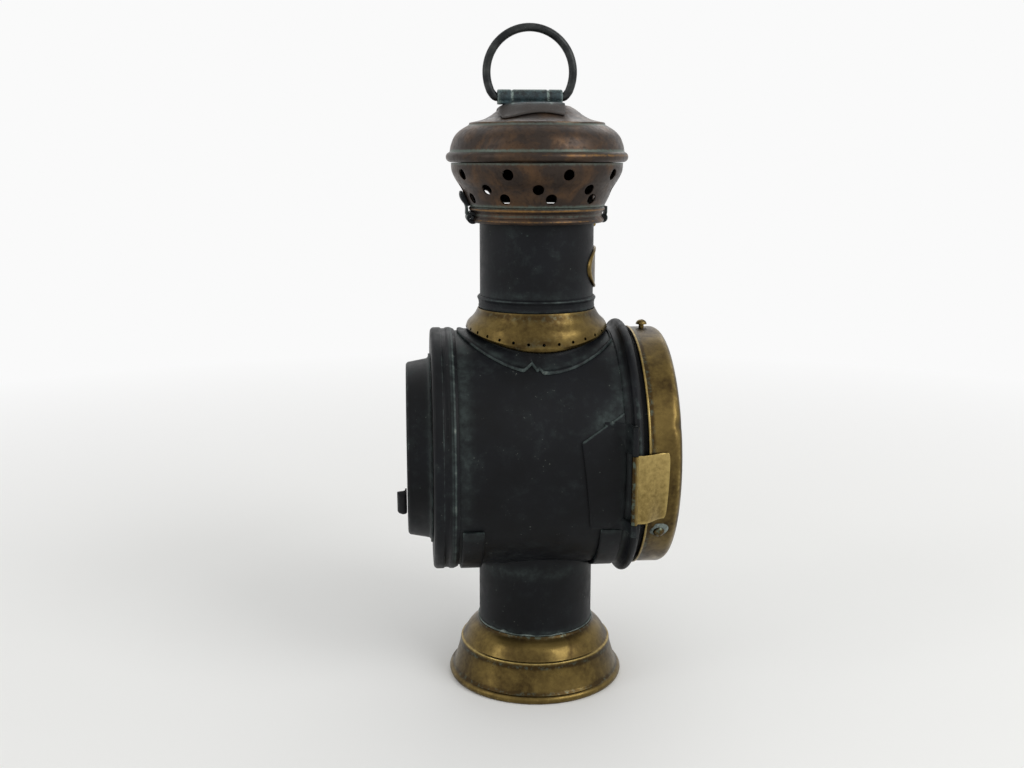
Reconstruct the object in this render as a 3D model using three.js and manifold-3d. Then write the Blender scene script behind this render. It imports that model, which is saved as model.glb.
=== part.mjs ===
// Carriage lamp: a drum with a hinged lens door and rear door, a hinged pierced cap with its ring
// handle, a brass collar and foot, and an oil font whose burner stands in the drum.
// Lengths are millimetres. Z runs up the chimney from the floor, X along the drum to the lens.
import * as THREE from 'three';
import { mergeVertices } from 'three/addons/utils/BufferGeometryUtils.js';
import Module from 'manifold-3d';

const wasm = await Module();
wasm.setup();

// Stock and fits
const sheet = 0.9;              // painted tinplate of the drum and tubes
const brassSheet = 0.8;         // spun brass and copper
const gap = 0.3;                // fit between neighbouring pieces
const overrun = 4;              // how far a cutter runs past what it cuts
const weld = 0.00001;           // points closer than this are one

// Drum, along X
const drumRadius = 59.6;
const drumHeight = 122.1;       // its axis above the floor
const chimneyRadius = 28.3;
const drumTail = 23.9;          // the shell reaches this far behind the chimney
const drumRear = -chimneyRadius - drumTail;
const drumNose = 15.2;          // and this far in front of it
const drumMouth = chimneyRadius + drumNose;
const rimStep = 1.3;            // the rim's face stands this far behind the shell
const rimRear = drumRear - rimStep;
const rimWidth = 12;
const rimFront = rimRear + rimWidth;
const rimRise = 1.7;            // the rear rim stands this far off the drum
const ringLap = 7.3;            // the front ring starts this far behind the mouth
const ringStart = drumMouth - ringLap;
const ringSetBack = 1.7;
const ringPeak = drumMouth - ringSetBack;
const ringRise = 5.1;           // the rolled front ring stands this far off the drum
const ringBead = 2.3;

// Upright tubes
const chimneyStand = 58.9;      // its top above the drum's crest
const chimneyTop = drumHeight + drumRadius + chimneyStand;
const tubeRadius = 29.3;
const tubeBottom = 12;
const tubeReach = 10.5;         // how far it stands up into the drum
const tubeTop = drumHeight - drumRadius + tubeReach;

// Foot
const footTop = 29.6;
const footBead = 2.2;
const ridgeReach = 9.3;         // the ridge's edge outside the tube
const ridgeRadius = tubeRadius + ridgeReach;
const footReach = 6.7;          // the bead's edge outside the ridge
const footRadius = ridgeRadius + footReach;
const ridgeDrop = 10.3;
const ridgeHeight = footTop - ridgeDrop;
const ridgeLip = 0.6;

// Collar, neck and saddle joint on top of the drum
const rimStand = 1.4;           // the collar's rim above the drum's crest
const collarRim = drumHeight + drumRadius + rimStand;
const collarHeight = 10.8;
const collarTop = collarRim + collarHeight;
const bellyReach = 7.3;         // the belly outside the chimney
const collarBelly = chimneyRadius + bellyReach;
const bellyRise = 1.1;
const bellyHeight = collarRim + bellyRise;
const collarDrop = 5.2;         // the rim lies this much lower at the drum's sides
const mouthTuck = 1.9;          // the rim is rolled in by this much
const collarMouth = collarBelly - mouthTuck;
const ventRadius = 1.1;
const ventCount = 30;
const ventRise = 2.5;
const neckReach = 4.7;
const neckRadius = chimneyRadius + neckReach;
const neckLap = 1.9;            // the neck reaches this far up inside the collar
const neckTop = collarRim + neckLap;
const neckSheet = 0.6;
const flangeReach = 7.2;
const flangeRadius = neckRadius + flangeReach;
const flangeBead = 0.6;
const beadRingBottom = collarTop + gap;
const beadRingHeight = 6;
const beadRingStand = 0.7;

// Oval plate on the chimney
const plateHalfWidth = 16.4;
const plateHalfHeight = 10.4;
const plateDrop = 26.7;         // its centre below the chimney's top
const plateHeight = chimneyTop - plateDrop;
const plateSheet = 0.6;
const plateBorder = 0.35;

// Cap
const bandLap = 4.3;            // the cap's neck reaches this far down over the chimney
const bandBottom = chimneyTop - bandLap;
const bandHeight = 7.6;
const bandTop = bandBottom + bandHeight;
const bandFit = 2.9;            // play round the chimney
const bandBore = chimneyRadius + bandFit;
const bandThickness = 2.4;
const bandRadius = bandBore + bandThickness;
const basketReach = 8.6;        // the basket's brim outside the band
const basketRadius = bandRadius + basketReach;
const basketHeight = 20.9;
const basketTop = bandTop + basketHeight;
const holeRadius = 2.7;
const capBead = 2.5;
const capRadius = basketRadius + capBead;
const capBeadRise = 2.8;
const capBeadHeight = basketTop + capBeadRise;
const shoulderWidth = 11.6;     // from the bead's edge in to the step
const stepRadius = capRadius - shoulderWidth;
const domeHeight = 16.4;
const stepHeight = capBeadHeight + domeHeight;
const stepDrop = 1.1;
const coneHeight = 8.3;
const crownTop = stepHeight + coneHeight;

// Ring handle and its bracket, which the old lamp carries a little to the rear
const handleShift = -3.6;
const knuckleRadius = 3.6;
const knuckleHeight = crownTop + gap + knuckleRadius;
const knuckleLength = 31.6;
const wireRadius = 2;
const handleRadius = 21;
const handleRise = 11.6;        // centre of the ring above its pivot
const plateDepth = 44;

// Cap hinge and catch
const capPinInset = 1.5;        // the pin's axis inside the band's edge
const capPinX = capPinInset - bandRadius;
const capPinDrop = 2;
const capPinHeight = chimneyTop - capPinDrop;
const capKnuckle = 2.9;
const capPin = 1.1;
const capLeafWidth = 10;
const capLugWidth = 3.6;
const catchWidth = 8;
const catchCurl = 2.3;
const catchDrop = 2.4;
const catchHeight = chimneyTop - catchDrop;

// Lens door
const bezelStand = 0.9;         // the bezel's wall outside the drum's
const bezelRadius = drumRadius + bezelStand;
const bezelSpace = 3.3;         // between the drum's mouth and the bezel
const bezelRear = drumMouth + bezelSpace;
const bezelDepth = 16.7;
const bezelFront = bezelRear + bezelDepth;
const bezelCorner = 4.5;
const bezelLip = 0.5;
const bezelFace = 6.5;          // width of the bezel's flat face
const lensSight = bezelRadius - bezelFace;
const lensLap = 1.8;
const lensRadius = lensSight + lensLap;
const lensEdge = 3.2;
const lensRise = 8.7;           // how far the lens bulges out of the bezel
const spigotRadius = drumRadius - sheet - gap * 2;
const spigotLap = 2.1;          // the spigot reaches this far into the drum
const spigotRear = drumMouth - spigotLap;
const screwInset = 6.9;
const screwStation = bezelRear + screwInset;
const screwRadius = 1.3;
const screwHead = 2.8;
const screwDome = 2.3;
const screwProud = 1.5;         // the top screw has backed out
const lensPinInset = 2.9;       // the pin's axis behind the ring's peak
const lensPinX = ringPeak - lensPinInset;
const lensKnuckle = 1.6;
const lensPin = 0.8;
const leafDrop = 22.4;          // the leaf's lower end below the drum's axis
const leafBottom = drumHeight - leafDrop;
const leafLength = 32.9;
const leafTop = leafBottom + leafLength;
const leafLap = 9.8;            // the leaf reaches this far along the bezel
const leafFront = bezelRear + leafLap;
const upperLug = 13.6;
const lowerLug = 5.4;

// Hinge patch and tube straps on the drum
const patchLength = 20.8;
const patchRear = ringStart - patchLength;
const patchSheet = 0.8;
const patchMargin = 3.6;
const strapWidth = 10.2;
const strapSpace = 1.4;         // between the rear strap and the rim
const strapSheet = 1.6;
const catchStripWidth = 12;

// Rear door
const doorDepth = 12.5;         // the cup's face behind the rim
const doorFace = rimRear - doorDepth;
const doorInset = 15.6;
const doorRadius = drumRadius - doorInset;
const doorTaper = 1.6;
const doorBrim = 4;
const doorFlange = doorRadius + doorBrim;
const doorLap = 3;
const doorOpening = doorRadius - doorLap;
const doorCorner = 2;
const doorPinStand = 2.8;       // the pin's axis behind the rim's face
const doorPinX = rimRear - doorPinStand;
const doorPinInset = 8.8;       // the pin's axis inside the drum's radius
const doorPinY = drumRadius - doorPinInset;
const doorKnuckle = 2;
const doorPin = 0.9;
const doorHingeLength = 30;
const tabWidth = 12.5;
const tabCurl = 5.1;            // how far the tab stands out from the door's face
const tabAngle = 117;           // degrees round the rim from the top, towards the near side
const reflectorInset = 4.2;
const reflectorRadius = doorRadius - reflectorInset;
const reflectorDepth = 8.6;

// Oil font and burner
const fontFit = 0.7;            // play inside the tube
const fontRadius = tubeRadius - sheet - fontFit;
const fontRise = 0.4;
const fontBottom = tubeBottom + fontRise;
const fontDrop = 7;             // its shoulder below the tube's top
const fontTop = tubeTop - fontDrop;
const fontSheet = 0.7;
const knurlReach = 1.6;         // the base's edge outside the tube
const flangeRim = tubeRadius + knurlReach;
const flangeSheet = 2.6;
const mouthRadius = 9;
const burnerRadius = 15.5;
const burnerHeight = 13;
const burnerTop = fontTop + burnerHeight;
const wickWidth = 12;
const wickThickness = 2;
const wickTubeRise = 22;
const wickTubeTop = burnerTop + wickTubeRise;
const wickStandOut = 4;
const coneReach = 1.5;
const coneRadius = burnerRadius + coneReach;
const galleryHeight = 7;
const coneBottom = burnerTop + galleryHeight;
const burnerConeHeight = 17.5;
const coneTop = coneBottom + burnerConeHeight;
const winderHeight = burnerTop + galleryHeight / 2;
const spindleRadius = 0.9;
const wheelRadius = 5;
const wheelThickness = 2.4;
const wheelReach = 25.4;
const portRadius = 0.9;
const portCount = 8;

// Facets round a turned piece
const large = 28;
const medium = 20;
const small = 12;
const pinFacets = 8;
const wireFacets = 8;
const holeFacets = 6;
const ventFacets = 4;
const headFacets = 16;
const ballRings = 8;
const ovalFacets = 8;
const basketFacets = 28;
const handleSteps = 24;

// Finishes
const finish = (color, roughness, metalness) => () =>
  new THREE.MeshStandardMaterial({ color, roughness, metalness });
const blackPaint = finish(0x23262b, 0.55, 0.2);
const agedBrass = finish(0x8d7238, 0.35, 0.9);
const agedCopper = finish(0x5b4032, 0.45, 0.8);
const verdigris = finish(0x3f5250, 0.6, 0.5);
const darkSteel = finish(0x3a3c3e, 0.45, 0.8);
const bareTin = finish(0x8c8c88, 0.4, 0.85);
const clearGlass = finish(0xdfe8e4, 0.08, 0);
const cotton = finish(0xd8cdb4, 0.95, 0);

const degrees = THREE.MathUtils.degToRad;
const around = (steps, fn) =>
  Array.from({ length: steps }, (_, i) => fn(2 * Math.PI * i / steps, i));

// Solids

function toSolid(geometry) {
  let g = geometry.clone();
  g.deleteAttribute('normal');
  g.deleteAttribute('uv');
  g = mergeVertices(g, weld);
  const p = g.getAttribute('position');
  const index = Array.from(g.index.array);
  const kept = [];
  let volume = 0;
  const a = new THREE.Vector3();
  const b = new THREE.Vector3();
  const c = new THREE.Vector3();
  for (let i = 0; i < index.length; i += 3) {
    const [i0, i1, i2] = index.slice(i, i + 3);
    if (i0 === i1 || i1 === i2 || i0 === i2) {
      continue;
    }
    kept.push(i0, i1, i2);
    a.fromBufferAttribute(p, i0);
    b.fromBufferAttribute(p, i1);
    c.fromBufferAttribute(p, i2);
    volume += a.dot(b.cross(c));
  }
  if (volume < 0) {
    for (let i = 0; i < kept.length; i += 3) {
      [kept[i], kept[i + 1]] = [kept[i + 1], kept[i]];
    }
  }
  const vertProperties = Float32Array.from(p.array);
  const triVerts = Uint32Array.from(kept);
  return new wasm.Manifold(new wasm.Mesh({ numProp: 3, vertProperties, triVerts }));
}

function toGeometry(solid) {
  const { vertProperties, triVerts } = solid.getMesh();
  const g = new THREE.BufferGeometry();
  g.setAttribute('position', new THREE.BufferAttribute(Float32Array.from(vertProperties), 3));
  g.setIndex(Array.from(triVerts));
  g.computeVertexNormals();
  return g;
}

const join = (first, ...rest) => rest.reduce((sum, s) => sum.add(s), first);
const cut = (first, ...rest) => rest.reduce((sum, s) => sum.subtract(s), first);
const meet = (first, ...rest) => rest.reduce((sum, s) => sum.intersect(s), first);

// Profiles are lists of [radius, height]

const arc = (r, z, radius, from, to, steps) => Array.from({ length: steps + 1 }, (_, i) => {
  const t = degrees(from + (to - from) * i / steps);
  return [r + radius * Math.cos(t), z + radius * Math.sin(t)];
});

const between = ([r0, z0], [r1, z1], shares) => shares
  .map(([r, z]) => [r0 + (r1 - r0) * r, z0 + (z1 - z0) * z]);

// The other side of a sheet: each point moved by the wall along its mean normal
function offset(profile, wall) {
  return profile.map((point, i) => {
    const before = profile[Math.max(i - 1, 0)];
    const after = profile[Math.min(i + 1, profile.length - 1)];
    const along = new THREE.Vector2(after[0] - before[0], after[1] - before[1]).normalize();
    return [point[0] + wall * along.y, point[1] - wall * along.x];
  });
}

// The inside of a spun sheet, with its ends and every second point of the outside
const lining = (profile, wall) => offset(profile, wall).map(([r, z]) => [Math.max(r, 0), z])
  .filter((_, i) => i % 2 === 0 || i === profile.length - 1).reverse();
const walled = (profile, wall) => [...profile, ...lining(profile, wall)];

// A profile turned about Z
function turned(profile, facets) {
  const closed = [...profile, profile[0]].map(([r, z]) => new THREE.Vector2(r, z));
  return toSolid(new THREE.LatheGeometry(closed, facets).rotateX(Math.PI / 2));
}

// A profile of [radius, station along X], turned about the drum's axis
function turnedOnDrum(profile, facets) {
  const closed = [...profile, profile[0]].map(([r, x]) => new THREE.Vector2(r, x));
  const g = new THREE.LatheGeometry(closed, facets).rotateZ(-Math.PI / 2);
  return toSolid(g.translate(0, 0, drumHeight));
}

// Cylinders between two heights, stations or depths
const upright = (radius, bottom, top, facets, x = 0, y = 0) => toSolid(
  new THREE.CylinderGeometry(radius, radius, top - bottom, facets).rotateX(Math.PI / 2)
    .translate(x, y, (bottom + top) / 2));
const lengthwise = (radius, rear, front, facets, y = 0, z = drumHeight) => toSolid(
  new THREE.CylinderGeometry(radius, radius, front - rear, facets).rotateZ(-Math.PI / 2)
    .translate((rear + front) / 2, y, z));
const crosswise = (radius, near, far, facets, x, z) => toSolid(
  new THREE.CylinderGeometry(radius, radius, far - near, facets)
    .translate(x, (near + far) / 2, z));
const block = ([x0, x1], [y0, y1], [z0, z1]) => toSolid(
  new THREE.BoxGeometry(x1 - x0, y1 - y0, z1 - z0)
    .translate((x0 + x1) / 2, (y0 + y1) / 2, (z0 + z1) / 2));

// A flat outline of [x, z] made as wide as given along Y
function wide(outline, near, far) {
  const shape = new THREE.Shape(outline.map(([x, z]) => new THREE.Vector2(x, z)));
  const g = new THREE.ExtrudeGeometry(shape, { depth: far - near, bevelEnabled: false });
  return toSolid(g.rotateX(Math.PI / 2).translate(0, far, 0));
}

// A flat outline of [x, y] made as tall as given along Z
function tall(outline, bottom, top) {
  const shape = new THREE.Shape(outline.map(([x, y]) => new THREE.Vector2(x, y)));
  const g = new THREE.ExtrudeGeometry(shape, { depth: top - bottom, bevelEnabled: false });
  return toSolid(g.translate(0, 0, bottom));
}

// A bent strip of even thickness along a line of [x, other]
const strip = (line, thickness) => [...line, ...offset(line, thickness).reverse()];

// Rings of as many points each, skinned in turn, and capped unless they go round
function loft(rings, goesRound) {
  const n = rings[0].length;
  const positions = rings.flat().flatMap((p) => [p.x, p.y, p.z]);
  const index = [];
  const last = goesRound ? rings.length : rings.length - 1;
  for (let i = 0; i < last; i += 1) {
    const here = i * n;
    const next = ((i + 1) % rings.length) * n;
    for (let j = 0; j < n; j += 1) {
      const k = (j + 1) % n;
      index.push(here + j, here + k, next + k, here + j, next + k, next + j);
    }
  }
  if (!goesRound) {
    const cap = capTriangles(rings[0]);
    const end = (rings.length - 1) * n;
    for (const [a, b, c] of cap) {
      index.push(a, c, b, end + a, end + b, end + c);
    }
  }
  const g = new THREE.BufferGeometry();
  g.setAttribute('position', new THREE.Float32BufferAttribute(positions, 3));
  g.setIndex(index);
  return toSolid(g);
}

// Triangles of a flat ring, seen along the axis in which it is thinnest, wound as the ring is
function capTriangles(ring) {
  const size = new THREE.Box3().setFromPoints(ring).getSize(new THREE.Vector3());
  const least = Math.min(size.x, size.y, size.z);
  const flat = ring.map((p) => {
    if (least === size.x) {
      return new THREE.Vector2(p.y, p.z);
    }
    if (least === size.y) {
      return new THREE.Vector2(p.z, p.x);
    }
    return new THREE.Vector2(p.x, p.y);
  });
  const wound = THREE.ShapeUtils.area(flat) > 0;
  return THREE.ShapeUtils.triangulateShape(flat, []).map(([a, b, c]) => {
    const turn = flat[b].clone().sub(flat[a]).cross(flat[c].clone().sub(flat[a]));
    return (turn > 0) === wound ? [a, b, c] : [a, c, b];
  });
}

// Assemblies

const lamp = new THREE.Group();
const body = new THREE.Group();
const cap = new THREE.Group();
const lensDoor = new THREE.Group();
const rearDoor = new THREE.Group();
const font = new THREE.Group();
lamp.add(body, cap, lensDoor, rearDoor, font);

function add(group, name, solid, material) {
  const mesh = new THREE.Mesh(toGeometry(solid), material());
  mesh.name = name;
  group.add(mesh);
}

// The drum's own surface: height above the floor at a point of the plan, and depth at a height
const crest = (y, rise = 0) => drumHeight + Math.sqrt(Math.max((drumRadius + rise) ** 2 - y * y, 0));
const flank = (z, radius) => -Math.sqrt(Math.max(radius ** 2 - (z - drumHeight) ** 2, 0));

// Drum: shell, rolled front ring and rear rim

function makeDrum() {
  const wall = [[drumRadius, drumMouth], [drumRadius, drumRear], [drumRadius - sheet, drumRear],
    [drumRadius - sheet, drumMouth]];
  const reach = drumRadius + overrun;
  const top = upright(neckRadius - neckSheet, drumHeight, drumHeight + reach, medium);
  const bottom = upright(tubeRadius + gap, drumHeight - reach, drumHeight, medium);
  add(body, 'drum_shell', cut(turnedOnDrum(wall, large), top, bottom), blackPaint);
}

function makeFrontRing() {
  const seat = drumRadius + gap;
  const peak = drumRadius + ringRise;
  const flare = between([seat + sheet / 2, ringStart], [peak - ringBead, ringPeak - ringBead],
    [[0, 0], [0.12, 0.35], [0.42, 0.72], [1, 1]]);
  const bead = arc(peak - ringBead, ringPeak, ringBead, -120, 90, 5);
  const back = [[seat, ringPeak + ringBead], [seat, ringStart]];
  add(body, 'front_ring', turnedOnDrum([...flare, ...bead.slice(1), ...back], large), blackPaint);
}

function makeRearRim() {
  const outside = drumRadius + rimRise;
  const seat = drumRadius + gap;
  const length = rimFront - rimRear;
  const grooveShares = [[0.4, 1], [0.46, 0.6], [0.6, 0.6], [0.66, 1], [0.82, 1], [1, 0.35]];
  const groove = grooveShares
    .map(([along, rise]) => [seat + (outside - seat) * rise, rimRear + length * along]);
  const corner = arc(outside - doorCorner, rimRear + doorCorner, doorCorner, -90, 0, 3);
  const profile = [[doorOpening, rimRear], ...corner, ...groove, [seat, rimFront],
    [seat, rimRear + sheet], [doorOpening, rimRear + sheet]];
  add(body, 'rear_rim', turnedOnDrum(profile, large), blackPaint);
}

// Chimney with its saddle joint

// Flanged neck: an upright neck that flares in a concave sweep down onto the drum
function makeSaddleFlange() {
  const rings = Array.from({ length: large }, (_, i) => {
    const turn = 2 * Math.PI * i / large;
    const at = (radius, height) =>
      new THREE.Vector3(radius * Math.cos(turn), radius * Math.sin(turn), height);
    const onDrum = (radius, rise) => crest(radius * Math.sin(turn)) + rise;
    const bent = (radius, rise) => at(radius, onDrum(radius, rise));
    const seat = gap * 1.2;
    const top = neckTop - collarDrop * 0.8 * Math.sin(turn) ** 2;
    const foot = onDrum(neckRadius, seat + neckSheet);
    const sweepHeight = Math.max(collarRim - collarDrop * Math.sin(turn) ** 2 - gap - foot, 0);
    const sweepWidth = flangeRadius - neckRadius - flangeBead * 2;
    const sweep = [0, 30, 60, 90].map((angle) => {
      const radius = neckRadius + sweepWidth * (1 - Math.cos(degrees(angle)));
      const rise = sweepHeight * (1 - Math.sin(degrees(angle)));
      return at(radius, onDrum(radius, seat + neckSheet) + rise);
    });
    return [at(neckRadius - neckSheet, top), at(neckRadius, top), ...sweep,
      bent(flangeRadius - flangeBead, seat + neckSheet + flangeBead),
      bent(flangeRadius, seat + neckSheet),
      bent(flangeRadius, seat),
      bent((neckRadius + flangeRadius) / 2, seat),
      bent(neckRadius - neckSheet, seat)];
  });
  const ring = block([ringStart - gap, flangeRadius + overrun], [-flangeRadius, flangeRadius],
    [0, chimneyTop]);
  add(body, 'saddle_flange', cut(loft(rings, true), ring), blackPaint);
}

// Bell collar whose rolled rim dips with the drum on both sides
const bellShares = [[0, 0], [0.08, 0.12], [0.36, 0.41], [0.82, 0.7], [1, 1]];
const rollShares = [[0.25, 0.65], [1, 1]];

function makeCollar() {
  const throat = chimneyRadius + gap + brassSheet;
  const bell = between([throat, collarTop], [collarBelly, bellyHeight], bellShares);
  const roll = between([collarBelly, bellyHeight], [collarMouth, collarRim], rollShares);
  const outline = walled([...bell, ...roll], brassSheet);
  const depth = collarTop - collarRim;
  const rings = Array.from({ length: ventCount }, (_, i) => {
    const turn = 2 * Math.PI * i / ventCount;
    return outline.map(([r, z]) => {
      const low = ((collarTop - z) / depth) ** 2;
      const dip = collarDrop * Math.sin(turn) ** 2 * low;
      return new THREE.Vector3(r * Math.cos(turn), r * Math.sin(turn), z - dip);
    });
  });
  const vents = Array.from({ length: ventCount }, (_, i) => {
    const turn = 2 * Math.PI * (i + 0.5) / ventCount;
    const dip = collarDrop * Math.sin(turn) ** 2 * ((depth - ventRise) / depth) ** 2;
    const drill = new THREE.CylinderGeometry(ventRadius, ventRadius, overrun, ventFacets)
      .rotateZ(Math.PI / 2);
    return toSolid(drill.translate(collarBelly, 0, 0).rotateZ(turn)
      .translate(0, 0, collarRim + ventRise - dip));
  });
  add(body, 'brass_collar', cut(loft(rings, true), ...vents), agedBrass);
}

function makeChimney() {
  const bore = chimneyRadius - sheet;
  const bottom = (bellyHeight + collarTop) / 2;
  const wall = [[chimneyRadius, chimneyTop], [chimneyRadius, bottom], [bore, bottom],
    [bore, chimneyTop]];
  add(body, 'chimney_tube', turned(wall, medium), blackPaint);

  const inner = chimneyRadius + gap;
  const outer = chimneyRadius + beadRingStand + gap;
  const roll = beadRingHeight / 4;
  const top = beadRingBottom + beadRingHeight;
  const ring = [[inner, top], [outer, top - roll / 3], [outer + roll / 4, top - roll],
    [outer, top - roll * 1.7], [outer - roll / 5, beadRingBottom + roll], [outer, beadRingBottom],
    [inner, beadRingBottom]];
  add(body, 'chimney_bead_ring', turned(ring, medium), verdigris);
}

// Bare oval plate on the front of the chimney, with a raised border
function makeOvalPlate() {
  const seat = chimneyRadius + gap;
  const oval = (share, reach) => {
    const shape = new THREE.Shape();
    shape.absellipse(0, 0, plateHalfWidth * share, plateHalfHeight * share, 0, 2 * Math.PI);
    const g = new THREE.ExtrudeGeometry(shape,
      { depth: reach, bevelEnabled: false, curveSegments: ovalFacets });
    return toSolid(g.rotateX(Math.PI / 2).rotateZ(Math.PI / 2).translate(0, 0, plateHeight));
  };
  const bottom = plateHeight - plateHalfHeight * 2;
  const top = plateHeight + plateHalfHeight * 2;
  const skin = (radius) =>
    cut(upright(radius, bottom, top, large), upright(seat, bottom, top, large));
  const whole = oval(1, seat + overrun);
  const plate = meet(whole, skin(seat + plateSheet));
  const frame = cut(whole, oval(0.9, seat + overrun));
  const rim = meet(frame, skin(seat + plateSheet + plateBorder));
  add(body, 'oval_plate', join(plate, rim), agedBrass);
}

// Lower tube and foot

function makeTubeAndFoot() {
  const bore = tubeRadius - sheet;
  const wall = [[tubeRadius, tubeTop], [tubeRadius, tubeBottom], [bore, tubeBottom],
    [bore, tubeTop]];
  add(body, 'lower_tube', turned(wall, medium), blackPaint);

  const collar = tubeRadius + gap;
  const dome = between([collar + brassSheet / 2, footTop], [ridgeRadius, ridgeHeight],
    [[0, 0], [0.08, 0.1], [0.32, 0.27], [0.58, 0.48], [0.78, 0.73], [0.93, 0.97]]);
  const lip = [[ridgeRadius + ridgeLip, ridgeHeight - ridgeLip]];
  const beadCentre = footRadius - footBead;
  const flare = between(lip[0], [beadCentre, footBead * 2],
    [[0.1, 0.18], [0.3, 0.42], [0.6, 0.69], [0.92, 0.94]]);
  const flatShare = 0.86;
  const bead = arc(beadCentre, footBead * flatShare, footBead, 75, -90, 6)
    .map(([r, z]) => [r, Math.max(z, 0)]);
  const outside = [...dome, ...lip, ...flare];
  const inside = lining(outside, brassSheet);
  inside[inside.length - 1] = [collar, footTop - (footTop - ridgeHeight) / 6];
  const heel = [[beadCentre - footBead / 2, 0], [beadCentre - footBead, footBead]];
  const profile = [[collar, footTop], ...outside, ...bead, ...heel, ...inside];
  add(body, 'brass_foot', turned(profile, medium), agedBrass);
}

// Straps that tie the tube joint to the underside of the drum, one on each side of the tube
function makeStraps() {
  const inner = drumRadius + gap;
  const outer = inner + strapSheet;
  const endHeight = drumHeight - drumRadius / 2.1;
  const keep = (rear, front) => block([rear, front], [-outer - overrun, outer + overrun],
    [drumHeight - outer - overrun, endHeight]);
  const clear = upright(tubeRadius + gap, 0, drumHeight, medium);
  const band = turnedOnDrum([[outer, drumMouth], [outer, drumRear], [inner, drumRear],
    [inner, drumMouth]], large);
  const rearEdge = rimFront + strapSpace;
  const rear = meet(band, keep(rearEdge, rearEdge + strapWidth));
  add(body, 'tube_strap_rear', cut(rear, clear), blackPaint);
  const frontEdge = ringStart - gap;
  const front = meet(band, keep(frontEdge - strapWidth, frontEdge));
  add(body, 'tube_strap_front', cut(front, clear), blackPaint);
}

// Cap: pierced basket, neck band, crown, handle bracket and ring

// Three staggered rows of holes: height share of the basket, count, and turn of the first hole
const holeRows = [
  { heightShare: 0.77, count: 9, turn: -155 },
  { heightShare: 0.44, count: 9, turn: -135 },
  { heightShare: 0.23, count: 10, turn: -157 },
];
const basketShares = [[0, 0], [0.045, 0.2], [0.27, 0.4], [0.57, 0.6], [0.77, 0.8], [1, 1]];

function makeBasket() {
  const foot = [bandRadius - gap, bandTop + gap];
  const outline = between([basketRadius, basketTop], foot, basketShares);
  const shell = turned(walled(outline, brassSheet), basketFacets);
  const height = basketTop - foot[1];
  const drills = holeRows.flatMap(({ heightShare, count, turn }) => around(count, (angle) => {
    const drill = new THREE.CylinderGeometry(holeRadius, holeRadius, basketRadius, holeFacets);
    const lean = degrees((1 - heightShare) * 35);
    drill.rotateZ(Math.PI / 2).translate(basketRadius * 0.9, 0, 0).rotateY(lean);
    const seat = foot[1] + height * heightShare + Math.sin(lean) * basketRadius * 0.9;
    return toSolid(drill.rotateZ(degrees(turn) + angle).translate(0, 0, seat));
  }));
  add(cap, 'cap_basket', cut(shell, ...drills), agedCopper);
}

const bandShares = [[0.75, 1], [1, 0.88], [0.8, 0.74], [0.5, 0.62], [0.4, 0.4], [0.62, 0.3],
  [0.85, 0.14], [0.6, 0]];

// The hinge and the catch pass through notches in the band
function makeNeckBand() {
  const height = bandTop - bandBottom;
  const swell = (bandRadius - bandBore) / 2;
  const outline = bandShares
    .map(([out, up]) => [bandBore + swell * 2 * out, bandBottom + height * up]);
  const band = turned([...outline, [bandBore, bandBottom], [bandBore, bandTop]], medium);
  const hingeHalf = capLeafWidth / 2 + capLugWidth + gap * 3;
  const roof = capPinHeight + capKnuckle + gap * 2;
  const hingeNotch = block([-bandRadius - overrun, -bandBore * 0.8], [-hingeHalf, hingeHalf],
    [bandBottom - overrun, roof]);
  const half = catchWidth / 2 + gap;
  const catchNotch = block([bandBore * 0.8, bandRadius + overrun], [-half, half],
    [bandBottom - overrun, catchHeight + catchCurl + gap]);
  add(cap, 'cap_neck_band', cut(band, hingeNotch, catchNotch), agedCopper);
}

const coneShares = [[0, 0], [0.42, 0.02], [0.53, 0.16], [0.61, 0.37], [0.69, 0.6], [0.81, 0.83], [1, 1]];
const cone = between([0, crownTop], [stepRadius, stepHeight], coneShares);

function makeCrown() {
  const brim = [capRadius - capBead * 0.75, capBeadHeight + capBead];
  const step = [stepRadius + stepDrop / 3, stepHeight - stepDrop];
  const dome = between(step, brim, [[0, 0], [0.45, 0.2], [0.75, 0.43], [0.93, 0.74], [1, 1]]);
  const bead = arc(capRadius - capBead, capBeadHeight, capBead, 45, -90, 4);
  const outside = [...cone, ...dome, ...bead];
  const inside = lining(outside, brassSheet);
  inside[0] = [basketRadius - brassSheet, capBeadHeight - capBead];
  inside[1] = [basketRadius - brassSheet, capBeadHeight];
  inside[inside.length - 1] = [0, crownTop - brassSheet];
  add(cap, 'cap_crown', turned([...outside, ...inside], medium), agedCopper);
}

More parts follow.
